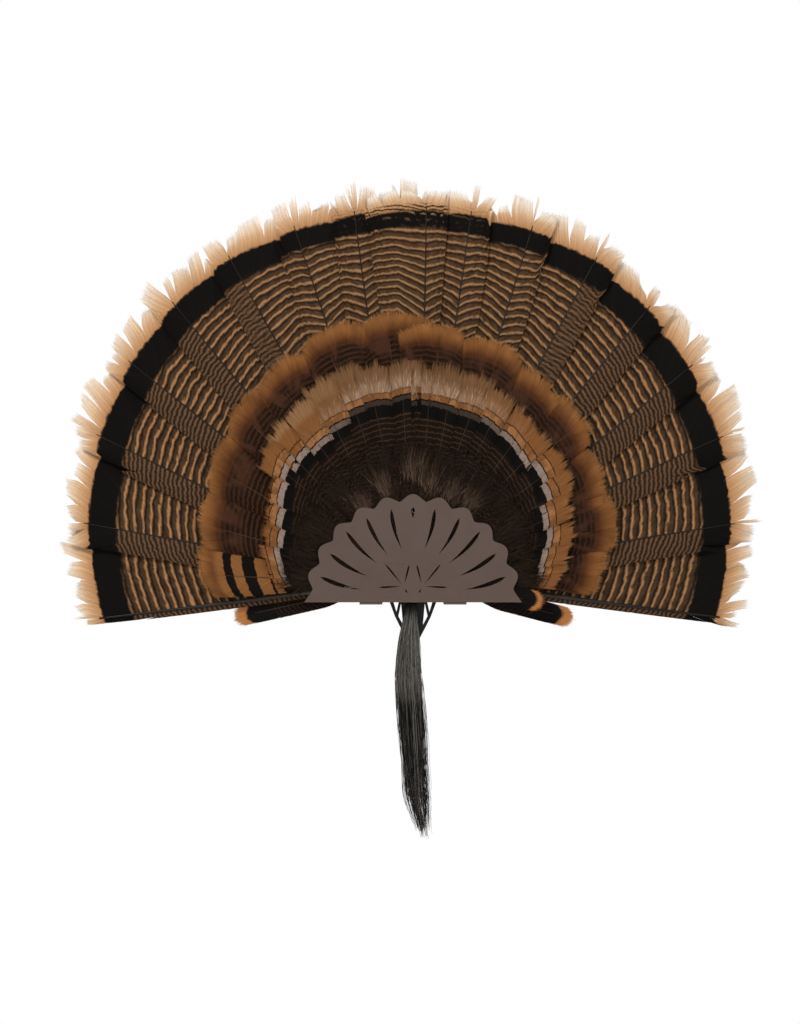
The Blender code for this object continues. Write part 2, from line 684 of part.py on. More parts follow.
def covert_tier(prefix, count, reach, fall, offset, parts, material):
    def reach_at(degrees):
        return reach - fall * (degrees / 90.0) ** COVERT_FALL_POWER

    pitch = COVERT_SPREAD / count
    gap = math.radians(pitch)
    widths = tier_widths(gap, gap, COVERT_OUTER_VANE)
    for side, name in ((-1, "left"), (1, "right")):
        for number in range(count):
            degrees = pitch * (number + 0.5)
            if number == 0 and side > 0:
                depth = layered_depth(offset + COVERT_CENTRE_LIFT, 0.0)
            else:
                depth = layered_depth(offset, COVERT_TILT)
            root = polar(side * degrees, COVERT_ROOT_RADIUS)
            tip = polar(side * degrees, reach_at(degrees))
            feather("%s_%s_%d" % (prefix, name, number + 1), side, root, tip,
                    edge_lean(reach_at, degrees), widths, depth, COVERT_ROWS, parts, material)


def side_coverts(parts, materials):
    def widths(distance):
        return grown(SIDE_COVERT_HALF_WIDTH, SIDE_COVERT_HALF_WIDTH, distance)

    for name, (side, degrees, reach, offset) in SIDE_COVERTS.items():
        root = polar(side * degrees, SIDE_COVERT_ROOT)
        tip = polar(side * degrees, reach)
        feather(name, side, root, tip, 0.0, widths, layered_depth(offset, 0.0), COVERT_ROWS, parts,
                materials["greater_covert"])


def rump_down(parts, materials):
    """A soft half ring over the roots, just behind the front plate."""
    inner, outer = FLUFF_RADIUS
    edge = []
    for step in range(FLUFF_STEPS + 1):
        angle = -FLUFF_SPREAD + 2.0 * FLUFF_SPREAD * step / FLUFF_STEPS
        edge.append(tuple(polar(math.degrees(angle), outer)))
    for step in range(FLUFF_STEPS, -1, -2):
        angle = -FLUFF_SPREAD + 2.0 * FLUFF_SPREAD * step / FLUFF_STEPS
        edge.append(tuple(polar(math.degrees(angle), inner)))
    flat_plate("rump_down", [edge[::-1]], FLUFF_DEPTH - FLUFF_THICKNESS / 2, FLUFF_THICKNESS, parts,
               materials["down"])


# ---------------------------------------------------------------- assembly

def build():
    clear_scene()
    parts = new_collection("turkey_fan_and_beard_display")
    cutters = new_collection("cutters")
    materials = {name: make_material(name) for name in COLOURS}
    back_plate(parts, cutters, materials)
    front_plate(parts, materials)
    clamp_hardware(parts, materials)
    tail_base(parts, cutters, materials)
    tail_feathers(parts, materials)
    covert_tier("greater_covert", GREATER_COUNT, GREATER_REACH, GREATER_FALL, GREATER_OFFSET, parts,
                materials["greater_covert"])
    covert_tier("lesser_covert", LESSER_COUNT, LESSER_REACH, LESSER_FALL, LESSER_OFFSET, parts,
                materials["lesser_covert"])
    side_coverts(parts, materials)
    rump_down(parts, materials)
    beard_hanger(parts, cutters, materials)
    beard_rivet(parts, materials)
    beard_cap(parts, cutters, materials)
    beard_bristles(parts, materials)


build()
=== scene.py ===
"""Looks of a wall-hung turkey tail fan with a hanging beard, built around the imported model.

Metres, +Z up. The display side faces -Y and the wall is the plane Y = 0, so a point at depth d
in front of the wall has Y = -d. A feather is worked out in its own plane: a is the distance
across from the rachis, positive towards its outer vane, and l is the distance along it.
"""

import math
from dataclasses import dataclass

import bmesh
import bpy
import numpy as np
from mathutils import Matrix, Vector


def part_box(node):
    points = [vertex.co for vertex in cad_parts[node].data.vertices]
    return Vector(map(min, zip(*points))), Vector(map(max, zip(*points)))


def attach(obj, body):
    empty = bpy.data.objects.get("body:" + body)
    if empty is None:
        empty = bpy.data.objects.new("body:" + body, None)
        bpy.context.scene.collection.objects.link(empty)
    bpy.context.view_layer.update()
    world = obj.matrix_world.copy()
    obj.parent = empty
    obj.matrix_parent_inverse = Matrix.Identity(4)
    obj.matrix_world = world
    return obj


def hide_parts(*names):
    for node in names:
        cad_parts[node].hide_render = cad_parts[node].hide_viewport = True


MM = 0.001
SIDES = ((-1, "left"), (1, "right"))
FRONT_TO_BACK = (0, 1, 0)

# The fan's layout, the same as the solids'. Directions are degrees from vertical, from the
# middle outwards, and reaches and radii are distances from the root centre.
TAIL_DIRECTIONS = [2, 9, 18.7, 29.8, 41, 52.6, 65.5, 80.5, 97.3]
TAIL_ROOT_RADIUS = 34 * MM
TAIL_TILT = 0.09
TAIL_CENTRE_LIFT = 3 * MM
TAIL_FALL_START = 30
TAIL_FALL = 58 * MM
TAIL_FALL_POWER = 1.3
OUTER_VANE = 24 * MM
LOWEST_OUTER_VANE = 7 * MM
CENTRE_OUTER_VANE = 38 * MM
UNDER_CENTRE_SHARE = 0.08
TOP_CENTRE_SHARE = 0.17
COVERT_SPREAD = 95
COVERT_TILT = 0.06
COVERT_ROOT_RADIUS = 42 * MM
COVERT_CENTRE_LIFT = 1.6 * MM
COVERT_OUTER_VANE = 26 * MM
COVERT_FALL_POWER = 1.6
GREATER_REACH = 270 * MM
GREATER_FALL = 62 * MM
GREATER_OFFSET = 7.4 * MM
LESSER_REACH = 229 * MM
LESSER_FALL = 68 * MM
LESSER_OFFSET = 14.4 * MM
SIDE_COVERT_ROOT = 62 * MM
SIDE_COVERTS = {
    # side, degrees from vertical, reach, offset from the fan
    "side_covert_left": (-1, 102.6, 193 * MM, -6.4 * MM),
    "side_covert_right": (1, 104.4, 175 * MM, -6.4 * MM),
    "side_covert_right_upper": (1, 100.5, 140 * MM, 18.2 * MM),
}
ROOT_RISE = 30 * MM
FAN_ROOT_DEPTH = 15.5 * MM
FAN_CROWN = 6 * MM
FAN_DROP = 3 * MM

# Where the visible feathers leave that layout: the fan is fuller on its left
VANE_OVERLAP = 11 * MM
TIP_LONGER = 4 * MM
RIGHT_TIP_LOSS = 7 * MM
RIGHT_TIP_LOSS_FROM = 20
RIGHT_TIP_LOSS_OVER = 30
GREATER_LONGER = {-1: 9, 1: -5}  # by side, in millimetres
LESSER_SPLIT = 3  # small feathers for each solid
LESSER_TILT = 1.3 * COVERT_TILT
LOW_LEFT_FROM = 57  # from this direction on, the left lesser coverts are shorter
LOW_LEFT_SHORTER = 14 * MM
LOW_LEFT_SHIFT = 16
UPPER_LEFT_LONGER = 8 * MM  # before it they are longer, by this much once they reach
UPPER_LEFT_FULL = 20  # this direction
# Where the lesser coverts' bands dip towards the root: side, degrees, spread, millimetres
BAND_DIPS = ((-1, 29, 14, 11), (-1, 53, 9, -8), (1, 17, 8, 11))

# Barbs
BARB_POINTS = 12
BARB_SPACING = 0.85 * MM

# How the barbs of each kind of covert hang together; class Feather says what each value is
GREATER_BARBS = dict(
    quill=1.3 * MM, rachis_end=0.2 * MM, rachis_gap=30 * MM, rachis_tone=0.8, rounding=0.26,
    rounding_power=3, tip_zone=60 * MM, clump=(20, 50), parting=(3 * MM, 8 * MM),
    gather=(0.02, 0.12), uneven=2 * MM, slant=3 * MM, sway=1 * MM, hair=(1.5 * MM, 7 * MM))
LESSER_BARBS = dict(
    quill=0.9 * MM, rachis_end=0.2 * MM, rachis_gap=34 * MM, rachis_tone=0.3, rounding=0.18,
    rounding_power=3, tip_zone=50 * MM, clump=(6, 18), parting=(3 * MM, 10 * MM),
    gather=(0, 0.2), uneven=3 * MM, slant=2 * MM, sway=1.2 * MM)
SIDE_BARBS = dict(
    start=2 * MM, quill=1.2 * MM, rachis_end=0.3 * MM, rachis_tone=0.3, rounding=0.7,
    rounding_power=2.2, tip_zone=30 * MM, clump=(14, 30), parting=(2 * MM, 6 * MM),
    gather=(0.02, 0.15), uneven=1 * MM, slant=1 * MM, sway=0.5 * MM, hair=(2 * MM, 5 * MM))
RUMP_BARBS = dict(
    start=10 * MM, rachis_gap=30 * MM, quill=0.8 * MM, rachis_end=0.2 * MM, rachis_tone=0.2,
    rounding=0.4, rounding_power=2.4, tip_zone=40 * MM, clump=(4, 12),
    parting=(6 * MM, 18 * MM), gather=(0.05, 0.35), uneven=4 * MM, hair=(4 * MM, 13 * MM))

# How much of the tail's pattern each feather shows, from the middle outwards: 0 is the wavy
# pattern of the centre feathers and 1 the straight bars of the side ones
TAIL_STYLES = [0, 0.2, 0.35, 0.6, 0.85, 1, 1, 1, 1]
BANDS_STRAIGHT_FROM = 50  # the lesser coverts' style reaches 1 here
BANDS_STRETCH = 0.55  # how much wider their bands are at the side

# Rows of rump feathers: how many a side, reach and offset from the fan
RUMP_ROWS = ((9, 152 * MM, 17.6 * MM), (8, 126 * MM, 19.2 * MM))
RUMP_SPREAD = 98
RUMP_OUTER_VANE = 12 * MM
RUMP_FALL = 24 * MM

# Loose down, and pale tufts in it: degrees from vertical, distance from the root and length,
# in millimetres
FLUFF_STRANDS = 11000
TUFT_STRANDS = 300
TUFTS = ((-17, 90, 30), (0, 100, 36), (10.5, 91, 30), (24, 88, 28),
         (37, 89, 26), (-34, 88, 18))

# Beard
BRISTLES = 720
BRISTLE_POINTS = 20
LOCKS = 15
STRAYS = 0.03  # share of the bristles that stand off to the right
SHORT_BRISTLES = 0.2  # share that ends well above the others

# View and light
VIEW_HEIGHT = 1.065
VIEW_CENTRE = (-13.5 * MM, 43.7 * MM)
LENS = 135
SENSOR = 36
AMBIENT = 0.46
FLOOR_GLOW = 0.35
FLOOR_RADIUS = 3.4
FLOOR_HEIGHT = -1
LIGHT_TARGET = (0, 0, 0.05)
LIGHTS = (
    # name, place, size, power
    ("key", (-1.2, -2, 1.7), 0.7, 52),
    ("fill", (1.5, -2.4, 0.4), 1.2, 15),
    ("back", (0.8, 2.2, 1.2), 1.4, 26),
)


# ---- small helpers

def srgb(red, green, blue):
    """A display colour, 0 to 255, as the linear colour that a shader takes."""
    linear = []
    for value in (red, green, blue):
        value /= 255
        linear.append(value / 12.92 if value <= 0.04045 else ((value + 0.055) / 1.055) ** 2.4)
    return (*linear, 1)


def smooth(value):
    value = np.clip(value, 0, 1)
    return value * value * (3 - 2 * value)


def waves(rng, positions, length, count=4):
    """A smooth random curve from -1 to 1 along positions, with bumps about length apart."""
    total = np.zeros_like(positions, dtype=float)
    for _ in range(count):
        rate = math.tau / (length * rng.uniform(0.6, 1.8))
        total += np.sin(positions * rate + rng.uniform(0, math.tau))
    return total / count


def stacked(*columns):
    """Columns of values side by side, after they are stretched to one shape."""
    return np.stack(np.broadcast_arrays(*columns), axis=-1)


def linked(name, data):
    """A new object in the scene."""
    item = bpy.data.objects.new(name, data)
    bpy.context.scene.collection.objects.link(item)
    return item


def unit(vectors):
    return vectors / (np.linalg.norm(vectors, axis=-1, keepdims=True) + 1e-12)


class MeshData:
    """Vertices, faces, material numbers and attributes gathered for one object."""

    def __init__(self):
        self.verts = []
        self.faces = []
        self.slots = []
        self.feather = []
        self.detail = []
        self.count = 0

    def add(self, verts, faces, slot, detail, feather=None):
        verts = np.asarray(verts, dtype=float).reshape(-1, 3)
        self.verts.append(verts)
        self.detail.append(detail.reshape(-1, 3))
        self.feather.append(np.zeros((len(verts), 3)) if feather is None else feather.reshape(-1, 3))
        self.faces += [tuple(int(index) + self.count for index in face) for face in faces]
        self.slots += [slot] * len(faces)
        self.count += len(verts)

    def make(self, name, materials):
        mesh = bpy.data.meshes.new(name)
        mesh.from_pydata(np.concatenate(self.verts).tolist(), [], self.faces)
        for key, rows in (("feather", self.feather), ("detail", self.detail)):
            attribute = mesh.attributes.new(key, "FLOAT_VECTOR", "POINT")
            attribute.data.foreach_set("vector", np.concatenate(rows).ravel())
        mesh.polygons.foreach_set("material_index", self.slots)
        for material in materials:
            mesh.materials.append(material)
        mesh.shade_smooth()
        return linked(name, mesh)


def tube(data, centres, radii, slot, detail, sides=6, flatten=1):
    """A closed tapered tube through centres, whose section is flattened along Y."""
    tangent = np.gradient(centres, axis=0)
    across = unit(np.cross(tangent, FRONT_TO_BACK))
    front = unit(np.cross(across, tangent))
    angles = np.arange(sides) * 2 * math.pi / sides
    ring = (across[:, None, :] * np.cos(angles)[None, :, None]
            + front[:, None, :] * flatten * np.sin(angles)[None, :, None])
    verts = centres[:, None, :] + ring * np.asarray(radii)[:, None, None]
    row = np.arange(len(centres) - 1)[:, None] * sides
    first = row + np.arange(sides)
    after = row + (np.arange(sides) + 1) % sides
    faces = stacked(first, after, after + sides, first + sides).reshape(-1, 4).tolist()
    faces.append(list(range(sides))[::-1])
    faces.append([(len(centres) - 1) * sides + side for side in range(sides)])
    data.add(verts, faces, slot, np.repeat(detail[:, None, :], sides, axis=1))


def ribbons(data, paths, widths, details):
    """Thin flat strands that face the front. paths is strands by points by 3."""
    tangent = np.gradient(paths, axis=1)
    half = unit(np.cross(tangent, FRONT_TO_BACK)) * widths[..., None] / 2
    verts = np.stack([paths - half, paths + half], axis=2)
    strands, points = paths.shape[:2]
    base = np.arange(strands)[:, None] * points * 2 + np.arange(points - 1) * 2
    faces = stacked(base, base + 1, base + 3, base + 2).reshape(-1, 4)
    data.add(verts, faces.tolist(), 0, np.repeat(details[:, :, None, :], 2, axis=2))


# ---- feather geometry

def polar(degrees, radius):
    """A point (x, z) at an angle from vertical and a distance from the root centre."""
    angle = math.radians(degrees)
    return ROOT_CENTRE + np.array([math.sin(angle), math.cos(angle)]) * radius


def fan_depth(radius):
    share = radius / FAN_RADIUS
    return FAN_ROOT_DEPTH + FAN_CROWN * 4 * share * (1 - share) - FAN_DROP * share * share


@dataclass
class Feather:
    """Where a feather lies, how wide it is and how its barbs part."""
    side: int
    degrees: float
    reach: float
    widths: object
    root_degrees: float
    root_radius: float = COVERT_ROOT_RADIUS
    offset: float = 0
    tilt: float = COVERT_TILT
    lean: float = 0
    bow: float = 0
    start: float = 24 * MM  # where the lowest barb leaves the quill
    rachis_gap: float = 24 * MM  # the rachis ends this far before the tip
    quill: float = 1.9 * MM
    rachis_end: float = 0.4 * MM
    rachis_tone: float = 0  # 0 dark, 1 the colour of the vane
    rounding: float = 0.1
    rounding_power: float = 4
    tip_zone: float = 45 * MM  # length of the part that splits most
    clump: tuple = (20, 42)  # barbs that hang together
    parting: tuple = (11 * MM, 25 * MM)  # depth of the gaps between clumps at the tip
    gather: tuple = (0.15, 0.38)
    uneven: float = 7 * MM  # how much the clumps differ in length
    slant: float = 7 * MM
    sway: float = 3.5 * MM
    hair: tuple = (1 * MM, 6 * MM)
    camber: float = 2 * MM  # the outer edge sinks and the inner one rises by this
    ripple: float = 0.5 * MM
    style: float = 1
    stretch: float = 1  # spreads the bands of the pattern
    shift: float = 0

    def __post_init__(self):
        self.root = polar(self.side * self.root_degrees, self.root_radius)
        tip = polar(self.side * self.degrees, self.reach)
        self.length = float(np.linalg.norm(tip - self.root))
        self.along = (tip - self.root) / self.length
        self.outward = np.array([self.along[1], -self.along[0]]) * self.side

    def half_width(self, stations, sign):
        spot = self.root + self.along * stations[:, None]
        inner, outer = self.widths(np.linalg.norm(spot - ROOT_CENTRE, axis=1))
        return outer if sign > 0 else inner

    def drop(self, across, width):
        """How far behind the tip the vane's end lies, at a signed distance across."""
        corner = self.rounding * width * (np.abs(across) / width) ** self.rounding_power
        return corner + across * across / (2 * self.reach) + self.lean * across

    def place(self, across, station, lift):
        """World positions of points given across the feather and along it."""
        swing = across + self.bow * np.sin(math.pi * np.clip(station / self.length, 0, 1))
        x = self.root[0] + self.along[0] * station + self.outward[0] * swing
        z = self.root[1] + self.along[1] * station + self.outward[1] * swing
        radius = np.hypot(x - ROOT_CENTRE[0], z - ROOT_CENTRE[1])
        depth = fan_depth(radius) + self.offset + self.tilt * across + lift
        return stacked(x, -depth, z)


class Barbs:
    """The barbs of one side of a feather as they rest, row after row from quill to tip."""

    def __init__(self, feather, sign):
        self.sign = sign
        tip_width = float(feather.half_width(np.array([feather.length * 0.93]), sign)[0])
        corner = feather.length - float(feather.drop(sign * tip_width, tip_width))
        stations = np.linspace(feather.start, corner, 160)
        across = np.linspace(tip_width, 0, 60)[1:]
        edge_a = np.concatenate([np.minimum(feather.half_width(stations, sign), tip_width), across])
        edge_l = np.concatenate([stations, feather.length - feather.drop(sign * across, tip_width)])
        travelled = np.concatenate([[0], np.cumsum(np.hypot(np.diff(edge_a), np.diff(edge_l)))])
        self.cells = max(24, int(travelled[-1] / BARB_SPACING))
        order = np.arange(self.cells + 1) / self.cells
        end_a = np.interp(travelled[-1] * order ** 0.84, travelled, edge_a)
        end_l = np.interp(travelled[-1] * order ** 0.84, travelled, edge_l)
        rachis_top = feather.length - feather.rachis_gap
        self.start = feather.start + (rachis_top - feather.start) * order
        self.share = 1 - (1 - np.linspace(0, 1, BARB_POINTS)) ** 1.5
        bend_a = 0.62 * end_a
        bend_l = self.start + 0.3 * (end_l - self.start)
        near = (1 - self.share) ** 2
        middle = 2 * self.share * (1 - self.share)
        far = self.share ** 2
        self.a = middle * bend_a[:, None] + far * end_a[:, None]
        self.l = near * self.start[:, None] + middle * bend_l[:, None] + far * end_l[:, None]
        self.length = np.hypot(end_a, end_l - self.start)
        self.left = (1 - self.share) * self.length[:, None]
        toward = np.stack([end_a - bend_a, end_l - bend_l])
        self.toward_a, self.toward_l = toward / (np.hypot(*toward) + 1e-9)
        self.tip_width = tip_width
        edge_zone = (end_l - (feather.length - feather.tip_zone)) / (0.5 * feather.tip_zone)
        self.at_tip = smooth(edge_zone)


class Clumps:
    """Which barbs hang together, and how each clump is pulled out of line."""

    def __init__(self, feather, barbs, rng):
        self.owner = np.zeros(barbs.cells, dtype=int)
        start = 0
        runs = 0
        while start < barbs.cells:
            size = rng.integers(feather.clump[0], feather.clump[1] + 1)
            size = int(size * (1 + 2 * (1 - barbs.at_tip[start])))
            self.owner[start:start + size] = runs
            start += size
            runs += 1
        members = [np.nonzero(self.owner == run)[0] for run in range(runs)]
        self.centre = np.array([int(np.mean(rows)) for rows in members])
        position = np.concatenate([np.linspace(-0.5, 0.5, len(rows)) for rows in members])
        tip = barbs.at_tip[self.centre]
        parting = rng.uniform(*feather.parting, runs) * tip
        parting += rng.uniform(0.8 * MM, 3 * MM, runs) * (1 - tip)
        self.parting = np.minimum(parting, 0.8 * barbs.length[self.centre])
        self.gather = rng.uniform(*feather.gather, runs) * (0.3 + 0.7 * tip)
        uneven = rng.uniform(-1.4, 1, runs) * feather.uneven * (0.1 + 0.9 * tip)
        slant = rng.uniform(-1, 1, runs) * feather.slant * tip
        self.extend = uneven[self.owner] + slant[self.owner] * position
        self.sway = rng.uniform(-1, 1, runs) * feather.sway * tip
        self.curl = rng.uniform(-1, 1, runs) * 2.5 * MM * tip

    def pulled(self, barbs, offset):
        """One side of every cell after its clump is pulled: across, along and lift."""
        rows = np.arange(barbs.cells) + offset
        middle = self.centre[self.owner]
        parting, gather, sway, curl = [
            values[self.owner][:, None] for values in (self.parting, self.gather, self.sway, self.curl)]
        extend = self.extend[:, None]
        pull = smooth((parting - barbs.left[rows]) / parting)
        toward_a = barbs.toward_a[rows][:, None]
        toward_l = barbs.toward_l[rows][:, None]
        a = barbs.a[rows] + pull * (gather * (barbs.a[middle] - barbs.a[rows])
                                    + extend * toward_a + sway * toward_l)
        station = barbs.l[rows] + pull * (gather * (barbs.l[middle] - barbs.l[rows])
                                          + extend * toward_l - sway * toward_a)
        return a, station, curl * pull ** 2


def vane(data, feather, sign, rng, seed):
    """One side of a feather: a sheet of zipped barbs whose edge parts into clumps and hairs."""
    barbs = Barbs(feather, sign)
    clumps = Clumps(feather, barbs, rng)
    cells = barbs.cells
    rows = np.arange(cells)

    # how much of each line's end is open, as a hair or as a gap between clumps
    hair = rng.uniform(*feather.hair, cells + 1) * (0.3 + 0.7 * barbs.at_tip)
    opened = np.minimum(hair, 0.5 * barbs.length)
    border = np.nonzero(np.diff(clumps.owner))[0] + 1
    parting = clumps.parting[clumps.owner]
    opened[border] = np.maximum(parting[border - 1], parting[border])
    opened[0] = 0
    zipped = barbs.left >= opened[:, None]

    near = clumps.pulled(barbs, 0)
    far = clumps.pulled(barbs, 1)
    middle_a = (near[0] + far[0]) / 2
    middle_l = (near[1] + far[1]) / 2
    loose = np.minimum(opened[:-1], opened[1:])[:, None]
    free = smooth((loose - barbs.left[:-1]) / np.maximum(loose, 1e-6))
    stray = rng.uniform(-1, 0.7, cells)[:, None] * 2 * MM * (0.25 + 0.75 * barbs.at_tip[:-1, None])
    ridge = waves(rng, np.arange(cells + 1), 9) + 0.7 * waves(rng, np.arange(cells + 1), 3.5)
    bend = waves(rng, barbs.start, 70 * MM) * feather.ripple

    def finished(side, offset):
        a, station, lift = side
        line = rows + offset
        gap = opened[line][:, None]
        taper = 0.86 * smooth((gap - barbs.left[line]) / np.maximum(gap, 1e-6))
        a = a + taper * (middle_a - a) + free * stray * barbs.toward_a[line][:, None]
        station = station + taper * (middle_l - station) + free * stray * barbs.toward_l[line][:, None]
        reach = np.abs(a) / barbs.tip_width
        lift = (lift - sign * feather.camber * reach ** 2 + bend[line][:, None] * reach
                + 0.22 * MM * ridge[line][:, None] * smooth(barbs.share * 4))
        return feather.place(a * sign, station, lift)

    def pattern(line):
        a = barbs.a[line]
        gap = feather.length - feather.drop(a * sign, barbs.tip_width) - barbs.l[line]
        barb = line[:, None] * BARB_SPACING / MM + seed * 37
        return stacked(a * sign / MM, gap * feather.stretch / MM + feather.shift, barb)

    chance = rng.uniform(0, 1, cells + 1)

    def detail(line):
        return stacked(barbs.share, chance[line][:, None], feather.style)

    # neighbouring cells share their vertices wherever the line between them is zipped
    near_index = np.arange(cells * BARB_POINTS).reshape(cells, BARB_POINTS)
    far_index = np.full((cells, BARB_POINTS), -1)
    far_index[:-1][zipped[1:-1]] = near_index[1:][zipped[1:-1]]
    own = far_index < 0
    far_index[own] = cells * BARB_POINTS + np.arange(int(own.sum()))

    def joined(near_rows, far_rows):
        return np.concatenate([near_rows.reshape(-1, 3), far_rows[own]])

    corners = [near_index[:, :-1], far_index[:, :-1], far_index[:, 1:], near_index[:, 1:]]
    if sign * feather.side > 0:
        corners.reverse()
    faces = np.stack([corner.ravel() for corner in corners], axis=-1).tolist()
    data.add(joined(finished(near, 0), finished(far, 1)), faces, 0,
             joined(detail(rows), detail(rows + 1)), joined(pattern(rows), pattern(rows + 1)))


def rachis(data, feather):
    """The quill and the shaft that carries the vane, a flattened tapered tube."""
    stations = np.linspace(0, feather.length - feather.rachis_gap, 26)
    share = stations / stations[-1]
    radii = feather.quill * (1 - share) ** 1.15 + feather.rachis_end * share
    centres = feather.place(np.zeros_like(stations), stations, 0.35 * radii)
    tube(data, centres, radii, 1, stacked(share, feather.rachis_tone, 0), 8, 0.85)


def grown(inner, outer, distance):
    """Half-widths once the vane has grown out of the bare quill."""
    grow = smooth((distance - 52 * MM) / (60 * MM))
    return np.maximum(2.2 * MM, inner * grow), np.maximum(2.2 * MM, outer * grow)


def tier_widths(gap_in, gap_out, outer_limit):
    """Half-widths that close the gap to the neighbours; the gaps are angles in radians."""
    def widths(distance):
        outer, hidden = [np.minimum(outer_limit, 0.5 * distance * gap) for gap in (gap_out, gap_in)]
        inner = distance * gap_in - hidden + np.minimum(VANE_OVERLAP, 0.5 * hidden)
        return grown(inner, outer, distance)
    return widths


def even_widths(pitch, outer_limit):
    """The same in a tier whose feathers are pitch degrees apart."""
    return tier_widths(math.radians(pitch), math.radians(pitch), outer_limit)


def centre_widths(inner_share, gap_out):
    def widths(distance):
        outer = np.minimum(CENTRE_OUTER_VANE, 0.5 * distance * gap_out)
        return grown(inner_share * distance, outer, distance)
    return widths


def edge_lean(reach_at, degrees):
    """How much the tier shortens for each metre outwards along its edge."""
    step = 1
    fall = reach_at(degrees - step) - reach_at(degrees + step)
    return fall / (2 * math.radians(step) * reach_at(degrees))


# ---- node materials

class Tree:
    """A short way to write a node tree: most calls add one node and return its output."""

    def __init__(self, tree):
        self.tree = tree

    def feed(self, socket, value):
        if isinstance(value, bpy.types.NodeSocket):
            self.tree.links.new(value, socket)
        else:
            socket.default_value = value

    def node(self, kind, inputs=(), **settings):
        """The new node itself; inputs gives its sockets, by number or name, with their values."""
        node = self.tree.nodes.new("ShaderNode" + kind)
        for name, value in settings.items():
            setattr(node, name, value)
        for key, value in inputs:
            self.feed(node.inputs[key], value)
        return node

    def math(self, operation, *values):
        return self.node("Math", enumerate(values), operation=operation).outputs[0]

    def camera_rays(self):
        """1 where the camera sees the thing itself, and 0 for the light that it gives."""
        return self.node("LightPath").outputs["Is Camera Ray"]


class Graph(Tree):
    """A material with its one shader."""

    def __init__(self, name):
        self.material = bpy.data.materials.new(name)
        self.material.use_nodes = True
        super().__init__(self.material.node_tree)
        self.shader = self.tree.nodes["Principled BSDF"]

    def minus(self, first, second):
        return self.math("SUBTRACT", first, second)

    def times(self, first, second, plus=0):
        return self.math("MULTIPLY_ADD", first, second, plus)

    def total(self, value, *terms):
        """A value plus some terms, each given with its factor."""
        for term, factor in terms:
            value = self.times(term, factor, value)
        return value

    def attribute(self, name):
        source = self.node("Attribute", attribute_name=name).outputs["Vector"]
        return self.node("SeparateXYZ", [(0, source)]).outputs

    def position(self):
        return self.node("NewGeometry").outputs["Position"]

    def vector(self, x, y, z):
        return self.node("CombineXYZ", enumerate((x, y, z))).outputs[0]

    def noise(self, vector, scale, detail=2, roughness=0.5):
        """Noise centred on zero, about -0.5 to 0.5."""
        node = self.node("TexNoise", [
            ("Vector", vector), ("Scale", scale), ("Detail", detail), ("Roughness", roughness)])
        return self.minus(node.outputs["Fac"], 0.5)

    def step(self, value, low, high):
        """0 below low and 1 above high, with a soft edge; swap them for the opposite."""
        return self.node("MapRange", enumerate((value, low, high, 0, 1)),
                         interpolation_type="SMOOTHSTEP").outputs[0]

    def mix(self, factor, *colours):
        """Two colours mixed; each is an output or a display colour, 0 to 255."""
        first, second = [srgb(*colour) if isinstance(colour, tuple) else colour for colour in colours]
        return self.node("Mix", [(0, factor), (6, first), (7, second)], data_type="RGBA").outputs[2]

    def ramp(self, value, low, high, first, second):
        """The first colour where the value is below low, turning to the second above high."""
        return self.mix(self.step(value, low, high), first, second)

    def paint(self, colour, *layers):
        """Layers over a first colour; each is a value, the two ends of its step and a colour."""
        for value, low, high, top in layers:
            colour = self.ramp(value, low, high, colour, top)
        return colour

    def brighten(self, colour, factor):
        return self.node("VectorMath", [(0, colour), ("Scale", factor)], operation="SCALE").outputs[0]

    def bump(self, height, distance, strength):
        node = self.node("Bump", [
            ("Strength", strength), ("Distance", distance), ("Height", height)])
        self.feed(self.shader.inputs["Normal"], node.outputs[0])

    def surface(self, colour, roughness, specular=0.05, metallic=0):
        for name, value in (("Base Color", colour), ("Roughness", roughness),
                            ("Specular IOR Level", specular), ("Metallic", metallic)):
            self.feed(self.shader.inputs[name], value)
        return self.material


class FeatherGraph(Graph):
    """A node tree that starts from the feather's own coordinates, in millimetres."""

    def __init__(self, name):
        super().__init__(name)
        self.across, self.gap, self.barb = self.attribute("feather")
        self.share, self.chance, self.style = self.attribute("detail")
        place = self.vector(self.across, self.gap, self.barb)
        self.slow = self.noise(place, 0.035)
        self.wander = self.noise(place, 0.11)
        self.speckle = self.noise(place, 0.9, 3, 0.7)

    def bars(self, position, period, duty, softness, wobble):
        """1 on the bars that cross a vane and 0 between them."""
        phase = self.math("FRACT", self.math("DIVIDE", position, period))
        away = self.math("ABSOLUTE", self.minus(phase, 0.5))
        edge = self.times(self.speckle, wobble, duty / 2)
        return self.step(self.minus(edge, away), -softness, softness)

    def finish(self, colour, roughness, streaks):
        """Streaks along the barbs, their fine relief and the soft sheen of a vane."""
        streak = self.noise(self.vector(self.barb, self.times(self.share, 3), 0), 0.55, 3, 0.65)
        tone = self.total(1, (streak, streaks * 2), (self.minus(self.chance, 0.5), streaks * 0.6))
        ridge = self.math("SINE", self.times(self.barb, math.tau / (BARB_SPACING / MM)))
        self.bump(self.times(streak, 3, ridge), 0.12 * MM, 0.6)
        return self.surface(self.brighten(colour, tone), roughness)


